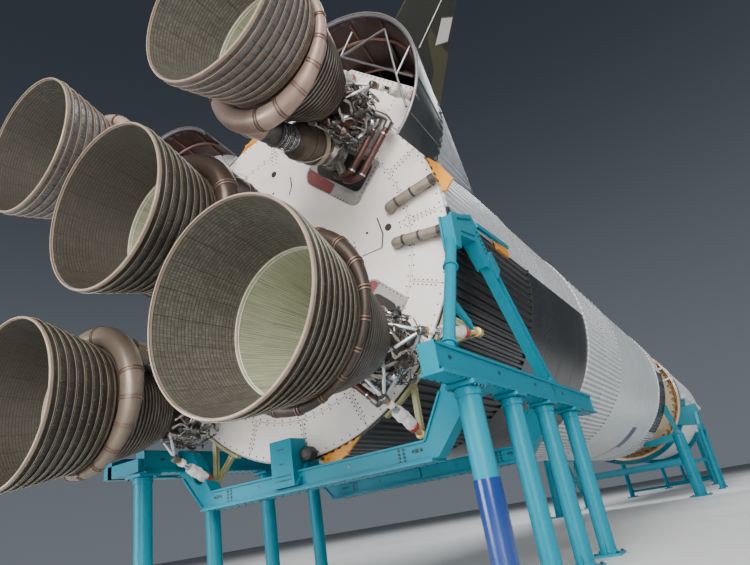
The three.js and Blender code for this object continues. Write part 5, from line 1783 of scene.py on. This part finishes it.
form = newForm()
spun(form, grooved([(5052.3, 0), (5052.3, 503)], (5260, 5560, 5860, 6160, 6460), evenHull)
     + [(6700, 503), (6700, 504.4), (6716, 504.4), (6716, 503), (6756, 503), (6756, 0)],
     hull["sides"])
block(form, 5082, 6696, -530, -496, -58, -34)
for x in range(5110, 6690, 90):
    block(form, x - 5, x + 5, -531.5, -498, -59.5, -32.5)
for c, s in ringTurns(24, 0.5):
    beam(form, (6590, 503 * c, 503 * s), (6690, 503 * c, 503 * s), 5, 5)
finishPiece(form, "second_tank_skin", "rocket", [secondWhite], ["second_stage_tank"])
coneAt = taper(6756.3, 503, 7334, 330)
form = newForm()
spun(form, grooved([(6756.3, 0), (6756.3, 503)], (6900, 7060, 7220), coneAt)
     + [(7334, 330), (7334, 0)], 144)
for c, s in ringTurns(72):
    start, end = [(x, (coneAt(x) + 0.4) * c, (coneAt(x) + 0.4) * s) for x in (6800, 7300)]
    beam(form, start, end, 5, 3.4)
finishPiece(form, "interstage_skin", "rocket", [upperWhite], ["interstage_cone"])
form = newForm()
spun(form, grooved([(7334.3, 0), (7334.3, 330)], (7480, 7700, 7950, 8200, 8460), lambda x: 330)
     + [(8635, 330), (8635, 0)], 144, [0] * 6 + [1] * 4 + [0] * 40)
for angle in (40, 160, 280):
    c, s = math.cos(math.radians(angle)), math.sin(math.radians(angle))
    beam(form, (7420, 333 * c, 333 * s), (8380, 333 * c, 333 * s), 12, 9)
finishPiece(form, "third_stage_skin", "rocket", [upperWhite, upperBlack],
            ["third_stage"])
adapterAt = taper(8635.3, 330, 9488, 195.6)
form = newForm()
spun(form, grooved([(8635.3, 0), (8635.3, 330)], (8700, 8980, 9240, 9430), adapterAt)
     + [(9488, 195.6), (9488, 0)], 144)
for c, s in ringTurns(4, 0.5):
    beam(form, *[(x, adapterAt(x) * c, adapterAt(x) * s) for x in (8710, 9470)], 6, 3)
finishPiece(form, "adapter_skin", "rocket", [upperWhite], ["lander_adapter"])
form = newForm()
spun(form, grooved([(9488.3, 0), (9488.3, 195.6)], (9530, 9700, 9840), lambda x: 195.6)
     + [(9882, 195.6), (9882, 0)], 120)
for angle in range(15, 375, 60):
    arcPlate(form, 195, 196.8, angle - 10, angle + 10, 8, 9560, 9680, 1)
for quadY, quadZ in ((1, 1), (1, -1), (-1, 1), (-1, -1)):
    c, s = quadY * math.sqrt(0.5), quadZ * math.sqrt(0.5)
    prism(form, [(9700 + 30 * a, 191 * c - 26 * b * s, 191 * s + 26 * b * c) for a, b in
                 ((0, -1), (2, -1), (2, 1), (0, 1))], (0, 12 * c, 12 * s), 1)
    for x, ahead in ((9709, -12), (9751, 12)):
        turned(form, [(0, 0), (0, 3), (5, 5), (9, 7), (9, 6), (6, 0)], 16, 0, (x, 201 * c, 201 * s),
               (x + ahead, 201 * c, 201 * s))
finishPiece(form, "service_module_skin", "rocket", [foilSilver, upperWhite],
            ["service_module"])
form = newForm()
spun(form, [(9882.3, 0), (9882.3, 186), (9885, 190), (9894, 194.5), (9900, 194.3), (9930, 177),
            (9931, 178),
            (9936, 175), (9936, 173.6), (10090, 85), (10091, 86.4), (10096, 83.4), (10096, 81.8),
            (10168, 40), (10170, 34), (10226, 26), (10226, 0)], 96)
for angle in (-60, -20, 20, 60, 180):  # blank window frames
    c, s = math.cos(math.radians(angle)), math.sin(math.radians(angle))
    prism(form, [(x, r * c - half * s, r * s + half * c) for x, r, half in
                 ((10000, 135.5, 12), (10000, 135.5, -12), (10034, 117.5, -10),
                  (10034, 117.5, 10))],
          (-1.5, -2.5 * c, -2.5 * s), 1)
finishPiece(form, "command_module_skin", "rocket", [capsuleSkin, upperBlack],
            ["command_module"])
form = newForm()
spun(form, [(10226.3, 0), (10226.3, 28), (10228, 30), (10236, 30), (10238, 28), (10238, 0)], 32)
corners = [(1, 1), (1, -1), (-1, -1), (-1, 1)]
for index, (quadY, quadZ) in enumerate(corners):
    sweep(form, [(10231, quadY * 17, quadZ * 17), (10536, quadY * 20, quadZ * 20)], 3.6, 10)
    nextY, nextZ = corners[(index + 1) % 4]
    for i in range(4):
        a, b = 10240 + 72 * i, 10312 + 72 * i
        ra, rb = 17 + 3 * (a - 10231) / 305, 17 + 3 * (min(b, 10530) - 10231) / 305
        sweep(form, [(a, quadY * ra, quadZ * ra), (min(b, 10530), nextY * rb, nextZ * rb)], 1.7, 6)
        sweep(form, [(a, quadY * ra, quadZ * ra), (a, nextY * ra, nextZ * ra)], 1.7, 6)
spun(form, [(10531, 0), (10531, 40), (10534, 42), (10560, 33), (10620, 33), (10622, 34.2),
            (10630, 34.2), (10632, 33),
            (10900, 33), (10902, 34.2), (10910, 34.2), (10912, 33), (11040, 33), (11090, 24),
            (11120, 8), (11127.7, 3.5), (11127.7, 0)], 64, [0] * 8 + [1] + [0] * 20)
for c, s in ringTurns(4, 0.5):
    turned(form, [(0, 0), (0, 4), (14, 8), (14, 6.5), (5, 0)], 16, 0, (10556, 34 * c, 34 * s),
           (10540, 41 * c, 41 * s))
finishPiece(form, "escape_tower_frame", "rocket", [upperWhite, upperBlack],
            ["escape_tower"])
print("upper stages drawn")

# cradles: teal-blue steel, drawn with flanged beams, stiffeners, caps and bolt rows
steel = {"floor": -845.0, "beamTop": -407.0, "beamBottom": -460.0, "girderHalf": 17}
boltSpots = []


def boltRow(start, end, aim, count, size=1.0):
    for i in range(count):
        boltSpots.append((Vector(start).lerp(Vector(end), (i + 0.5) / count), aim, size))


def tallColumn(form, x, y, top, radius):
    floor = steel["floor"]
    sweep(form, [(x, y, floor + 5), (x, y, top)], radius, 40)
    plate = radius * 1.7
    block(form, x - plate, x + plate, y - plate, y + plate, floor, floor + 6)
    turned(form, [(0, radius - 1), (0, radius + 5), (3, radius + 2), (8, radius + 0.2),
                  (8, radius - 1), (0, radius - 1)],
           40, 0, (x, y, floor + 5.5), (x, y, floor + 20))
    for quadY, quadX in ((1, 1), (1, -1), (-1, 1), (-1, -1)):
        boltSpots.append(((x + quadX * plate * 0.8, y + quadY * plate * 0.8, floor + 8), (0, 0, 1),
                          1.5))
        tip = radius * 0.98
        sidePlate(form, [(x + quadX * tip, floor + 6), (x + quadX * (plate - 3), floor + 6),
                         (x + quadX * tip, floor + 34)], y - 1.5, y + 1.5)
    turned(form, [(0, radius - 1), (0, radius + 2.5), (14, radius + 2.5), (14, radius - 1),
                  (0, radius - 1)], 40, 0,
           (x, y, top - 26), (x, y, top))
    block(form, x - radius - 9, x + radius + 9, y - radius - 7, y + radius + 7, top - 10,
          top - 2)
    for way in (-1, 1):
        for edge in (-0.8, -0.25, 0.25, 0.8):
            boltSpots.append(((x + edge * (radius + 6), y + way * (radius + 3.5), top - 11.5),
                              (0, 0, -1), 1.1))


def ovalHoleShade(form, x, y, z, way):
    # the hole is a thin dark plate on the web: painted shade
    sidePlate(form, [(x + 8 * c, z + 4 * s) for c, s in ringTurns(16)], y, y + way * 0.8, 1)


def girder(form, x0, x1, y, low, high):
    # a built-up beam: flanges, set-in webs, end plates, bolt rows below and oval holes drawn as
    # thin dark plates of painted shade
    half = steel["girderHalf"]
    block(form, x0, x1, y - half - 7, y + half + 7, low - 5, low + 1)
    block(form, x0, x1, y - half, y + half, low, low + 6)
    block(form, x0, x1, y - half, y + half, high - 6, high)
    block(form, x0, x1, y - half + 4, y + half - 4, low + 5, high - 5)
    block(form, x0, x0 + 6, y - half, y + half, low, high)
    block(form, x1 - 6, x1, y - half, y + half, low, high)
    for way in (-1, 1):
        boltRow((x0 + 10, y + way * (half + 3.5), low - 5.5),
                (x1 - 10, y + way * (half + 3.5), low - 5.5), (0, 0, -1),
                int((x1 - x0) / 26), 0.9)
        for i in range(int((x1 - x0) / 236)):
            x = x0 + 60 + 236 * i
            ovalHoleShade(form, x, y + way * (half - 3.9), (low + high) / 2 + 4, way)


# sides: way out, the girder's y and aft end, foot of the post, aft end of its fin
# columns: x and radius; apexBolts: x and z of both ends of a row, and its count
aftCradle = {"hip": 528.0, "sides": [(-1, -528.0, -28.0, 62.0, 118.0),
                                     (1, 410.0, 102.0, 110.0, 148.0)],
             "columns": [(110, 23), (340, 21), (570, 21), (805, 21)],
             "apexBolts": [(232, -70, 326, -38, 9), (240, -100, 326, -84, 8),
                           (345, -60, 388, -116, 6)]}
form = newForm()
top, low = steel["beamTop"], steel["beamBottom"]
for away, y, start, postX, finX in aftCradle["sides"]:
    girder(form, start, 1057, y, low, top)
    for x, radius in aftCradle["columns"]:
        tallColumn(form, x, y, low - 4, radius)
    hip = away * aftCradle["hip"]
    post = [Vector((postX, hip, top - 5)), Vector((206, hip, -128))]
    sweep(form, post, 12.5, 32)
    aim = (post[1] - post[0]).normalized()
    for share in (0.06, 0.72):  # flange joints on the post
        centre = post[0].lerp(post[1], share)
        sweep(form, [centre - aim * 2, centre + aim * 2], 17, 32)
    edges = sorted((hip - away * 19.4, hip + away * 14))
    apex = [(196, -150), (206, -62), (262, -46), (338, -18), (404, -112), (384, -150), (330, -96),
            (236, -112), (222, -150)]
    inset = [(x + (300 - x) * 0.05, z + (-95 - z) * 0.05) for x, z in apex]
    sidePlate(form, apex, edges[0], edges[0] + 5)
    sidePlate(form, apex, edges[1] - 5, edges[1])
    sidePlate(form, inset, edges[0] + 4, edges[1] - 4)
    for x, z, endX, endZ, count in aftCradle["apexBolts"]:
        boltRow((x, hip + away * 15, z), (endX, hip + away * 15, endZ), (0, away, 0), count)
    beam(form, (388, hip, -118), (690, y, -432), 26, 40, 0, 10, 5)
    beam(form, (400, hip + away * 1, -112), (440, hip + away * 1, -153), 31, 46)
    sidePlate(form, [(finX, -300), (finX + 22, -288), (204, -322), (206, -342)], hip - 4, hip + 4)
    sidePlate(form, [(640, top - 2), (716, top - 2), (688, top + 16), (664, top + 16)], y - 15,
              y + 15)
hip = aftCradle["hip"]
block(form, 88, 340, hip - 17, hip + 17, low, top)
for x0, x1 in ((88, 150), (300, 340)):
    block(form, x0, x1, 400, hip, low, top - 20)
yoke = [(-528, -420), (-484, -407), (-438, -409), (-418, -440), (-362, -532), (284, -532),
        (350, -428), (376, -409),
        (420, -407), (420, -452), (390, -486), (318, -574), (-388, -574), (-478, -474),
        (-528, -460)]
relief = {"radius": 26.0, "steps": 16, "slices": 4}


def relievedYoke(x):
    # the yoke's outline, with a round cut where the lower left actuator passes
    axis = onActuator(1, -1, "z", (x - gimbalX - actuator["padBack"]) / actuatorAim.x)
    low, high = Vector(yoke[5]), Vector(yoke[6])
    ahead = (high - low).normalized()
    centre = Vector((axis.y, axis.z))
    foot = low + ahead * (centre - low).dot(ahead)
    half = math.sqrt(relief["radius"] ** 2 - (centre - foot).length_squared)
    first, last = (math.atan2(*reversed(foot + ahead * way * half - centre)) for way in (-1, 1))
    arc = [first + (last - first) * i / relief["steps"] for i in range(relief["steps"] + 1)]
    return yoke[:6] + [(centre.x + relief["radius"] * math.cos(a),
                        centre.y + relief["radius"] * math.sin(a))
                       for a in arc] + yoke[6:]


for x0, x1, first in ((220, 262, True), (784, 826, False)):
    if first:
        stations = [x0 + 5 + (x1 - x0 - 10) * i / relief["slices"]
                    for i in range(relief["slices"] + 1)]
        outlines = [relievedYoke(x) for x in stations]
        n = len(outlines[0])
        faces = [[k * n + i, k * n + (i + 1) % n, (k + 1) * n + (i + 1) % n, (k + 1) * n + i]
                 for k in range(relief["slices"]) for i in range(n)]
        faces += [list(range(n)), list(range(relief["slices"] * n, (relief["slices"] + 1) * n))]
        addPatch(form, [(x, *spot) for x, outline in zip(stations, outlines) for spot in outline],
                 faces, 0)
    else:
        crossPlate(form, yoke, x0 + 5, x1 - 5)
    rim = [(-418, -440), (-362, -532), (284, -532), (301, -505)]
    for (a, b), (c, d) in zip(rim, rim[1:]):
        beam(form, ((x0 + x1) / 2, a, b - 2), ((x0 + x1) / 2, c, d - 2), x1 - x0, 5)
    under = [(390, -486), (318, -572), (-388, -572), (-478, -474), (-526, -461)]
    for (a, b), (c, d) in zip(under, under[1:]):
        beam(form, ((x0 + x1) / 2, a, b + 2), ((x0 + x1) / 2, c, d + 2), x1 - x0, 5)
    for y in (-306, -294, 214, 226):  # bolted splices; the bolt heads are black: painted shade
        for i in range(5):
            z = -566 + 8 * i
            disc(form, 3, x1 - x0 - 7, 10, 5, (x0 + 3.5, y, z), (x1, y, z))
    for y in (-340, 262):  # a dark mark beside each splice
        for shift, half in ((-9, 3.2), (2, 4), (11, 2.6)):
            block(form, x0 + 3.6, x1 - 3.6, y + shift - half, y + shift + half, -550 - half,
                  -550 + half, 5)
    for y in (-160, 120):
        for x, way in ((x0 + 4.6, -1), (x1 - 4.6, 1)):
            disc(form, 4, 0.8, 16, 1, (x, y, -550), (x + way * 5, y, -550))
for x in (241, 805):
    block(form, x - 34, x + 34, -380, 310, -579, -573)
    for way in (-1, 1):
        boltRow((x + way * 29, -370, -579.5), (x + way * 29, 300, -579.5), (0, 0, -1), 26, 0.9)
block(form, 205, 262, -14, 54, -566, -456)
sidePlate(form, [(205, -566), (262, -566), (262, -500), (240, -530)], -22, -14)
block(form, 784, 826, -34, 34, -566, -508.2)
block(form, 256, 312, -10, 50, -566, -508.6)
for z in (-550, -540):
    boltRow((204.5, -6, z), (204.5, 46, z), (-1, 0, 0), 9, 0.7)
for y, z, long in ((20, -478, 11), (20, -512, 7)):  # small dark slots on the box
    block(form, 204.4, 208, y - long, y + long, z - 1.4, z + 1.4, 2)
turned(form, [(0, 0), (0, 15), (2, 17.5), (26, 17.5), (28, 15), (28, 11), (24, 9), (24, 0)], 40, 5,
       (230, -34, -497), (258, -34, -497))
turned(form, [(0, 0), (0, 9), (2, 11), (3, 11), (3, 0)], 32, 2, (228, -34, -497), (231, -34, -497))
beam(form, (396, -530, -22), (690, -513, 18), 9, 12)
block(form, 588, 680, -516, -508, -20, 8, 3)
x, radius = aftCradle["columns"][0]  # blue sleeve, blank
turned(form, [(0, radius + 0.2), (0, radius + 1.4), (160, radius + 1.4), (160, radius + 0.2),
              (0, radius + 0.2)], 48, 4,
       (x, -hip, -796), (x, -hip, -700))
finishPiece(form, "aft_cradle_frame", "rocket",
            [tealPaint, tealMarksAndHoleShade, castDark, bracketGold, signBlue, markBlack],
            ["cradle_first_aft"], bevel=0.9)
print("aft cradle drawn")

frontHub = {"y": 482.0, "z": -422.0, "x0": 3862.0, "x1": 3906.0, "leg": 40.0}
form = newForm()
middle = (frontHub["x0"] + frontHub["x1"]) / 2
beam(form, (middle, -frontHub["y"], -604), (middle, frontHub["y"], -604), 30, 44, 0, 8, 5)
for side in (-1, 1):
    y, z = side * frontHub["y"], frontHub["z"]
    turned(form, [(0, 0), (0, 12), (2, 12), (2, 30), (4, 34), (52, 34), (54, 30), (54, 12),
                  (56, 12), (56, 0)], 48, 0,
           (frontHub["x0"] - 6, y, z), (frontHub["x1"] + 6, y, z))
    upper = [(500, -430), (472, -404)]
    upper += [(509.4 * math.cos(math.radians(a)), 509.4 * math.sin(math.radians(a)))
              for a in range(-30, -22, 2)]
    upper += [(474, -208), (504, -404)]
    crossPlate(form, [(side * a, b) for a, b in upper], frontHub["x0"] + 10, frontHub["x1"] - 10)
    lower = [(470, -404), (500, -440), (470, -462), (300, -470), (236, -464), (240.5, -449.4),
             (262, -437.2)]
    crossPlate(form, [(side * a, b) for a, b in lower], frontHub["x0"] + 6, frontHub["x1"] - 6)
    disc(form, 8, 3, 32, 2, (frontHub["x0"] - 6.4, y, z), (frontHub["x0"], y, z))
    for c, s in ringTurns(8):
        boltSpots.append(((frontHub["x0"] - 4.5, y + 21 * c, z + 21 * s), (-1, 0, 0), 1.2))
    sweep(form, [(middle, y, z), (middle, y + side * 15, steel["floor"] + 4)], frontHub["leg"], 48)
    footY = side * (frontHub["y"] + 15)
    block(form, middle - 70, middle + 70, footY - 70, footY + 70, steel["floor"],
          steel["floor"] + 8)
    for quadX, quadZ in ((1, 1), (1, -1), (-1, 1), (-1, -1)):
        boltSpots.append(((middle + quadX * 56, footY + quadZ * 56, steel["floor"] + 10), (0, 0, 1),
                          2.0))
    for z0 in (-520, -700):
        along = (z0 - z) / (steel["floor"] - z)
        sweep(form, [(middle, y + side * 15 * along, z0 - 4),
                     (middle, y + side * 15 * along, z0 + 4)], 47, 48)
finishPiece(form, "front_cradle_frame", "rocket", [tealPaint, tealMarksAndHoleShade, markBlack],
            ["cradle_first_fore"], bevel=0.9)


def drawSaddle(name, node, x0, x1, radius, spread, steps):
    form = newForm()
    inner = (radius + 0.3) / math.cos(math.pi * 110 / 360 / steps) + 0.2
    arcPlate(form, inner, inner + 5, -145, -35, 48, x0, x1)
    arcPlate(form, radius + 37, radius + 42, -145, -35, 48, x0, x1)
    arcPlate(form, inner + 4, radius + 38, -145, -35, 48, x0 + 12, x1 - 12)
    for i in range(23):
        angle = -143 + 106 * i / 22
        arcPlate(form, inner + 4, radius + 38, angle - 0.25, angle + 0.25, 1, x0 + 1, x1 - 1)
    middle = (x0 + x1) / 2
    floor = steel["floor"]
    for side in (-1, 1):
        y = side * spread
        top = -math.sqrt((radius + 4) ** 2 - (spread - 20) ** 2)
        beam(form, (middle, y, floor + 4), (middle, y, top), 40, 48, 0, 9, 6)
        block(form, middle - 110, middle + 110, y - 40, y + 40, floor, floor + 10)
        for way in (-1, 1):
            beam(form, (middle + way * 92, y, floor + 8), (middle + way * 14, y, top - 70), 16, 22,
                 0, 5, 4)
            for edge in (-1, 1):
                boltSpots.append(((middle + way * 98, y + edge * 30, floor + 11.5), (0, 0, 1), 1.6))
    beam(form, (middle, -spread, floor + 60), (middle, spread, floor + 60), 20, 24, 0, 6, 4)
    finishPiece(form, name, "rocket", [tealPaint, tealMarksAndHoleShade], [node], bevel=0.8)


def drawRingCradle(name, node, x0, x1, radius, spread, reach):
    form = newForm()
    inner = radius + 0.3 + 1.6
    floor = steel["floor"]
    arcPlate(form, inner, radius + 7, -170, -10, 64, x0, x1)
    arcPlate(form, radius + 37, radius + 42, -170, -10, 64, x0, x1)
    arcPlate(form, radius + 6, radius + 38, -170, -10, 64, x0 + 16, x1 - 16)
    for i in range(33):
        angle = -169 + 158 * i / 32
        arcPlate(form, radius + 6, radius + 38, angle - 0.2, angle + 0.2, 1, x0 + 1, x1 - 1)
        boltSpots.append(((x0 - 1, (radius + 22) * math.cos(math.radians(angle + 2.4)),
                           (radius + 22) * math.sin(math.radians(angle + 2.4))), (-1, 0, 0), 1.0))
    arcPlate(form, inner, radius + 14, -190, 10, 80, x0 + 8, x0 + 20)
    middle = (x0 + x1) / 2
    for side in (-1, 1):
        y = side * spread
        bend = [((radius + 2.2) * math.cos(math.radians(a)),
                 (radius + 2.2) * math.sin(math.radians(a)))
                for a in range(-36, -16, 3)]
        crossPlate(form, [(side * a, b) for a, b in bend + [(603, -150), (603, -330)]], x0 - 8,
                   x1 + 8)
        block(form, middle - reach - 22, middle + reach + 22, y - 16, y + 16, -372, -330)
        for way in (-1, 1):
            x = middle + way * reach
            tallColumn(form, x, y, -356, 15)
            beam(form, (x - way * 6, y, -346), (middle, y, -196), 22, 28, 0, 8, 5)
            beam(form, (x, y, floor + 60), (middle - way * reach, y, -372), 12, 16, 0, 4, 3)
    beam(form, (x1 + 16, -spread, -604), (x1 + 16, spread, -604), 20, 30, 0, 6, 4)
    finishPiece(form, name, "rocket", [tealPaint, tealMarksAndHoleShade], [node], bevel=0.8)


drawRingCradle("second_aft_cradle_frame", "cradle_second_aft", 4846, 4900, 503, 583, 170)
drawSaddle("second_fore_cradle_frame", "cradle_second_fore", 6480, 6540, 503, 430, 12)
drawSaddle("third_cradle_frame", "cradle_third", 8380, 8430, 330, 290, 16)
drawSaddle("service_cradle_frame", "cradle_service", 9580, 9630, 195.6, 175, 12)
addStuds(boltSpots, "cradle_bolts", "rocket", boltTealShade, 2.6, 3.0, 6)
print("cradles drawn")

floorMesh = bpy.data.meshes.new("studio_floor")
floorMesh.from_pydata([(-60, -60, 0), (60, -60, 0), (60, 60, 0), (-60, 60, 0)], [], [(0, 1, 2, 3)])
floorMesh.materials.append(makeFinish("floor_pale", (0.70, 0.70, 0.69), (0.64, 0.64, 0.63), 0.45,
                                      0.0, 0.4, 0.7))
floorPiece = placed("studio_floor", floorMesh)
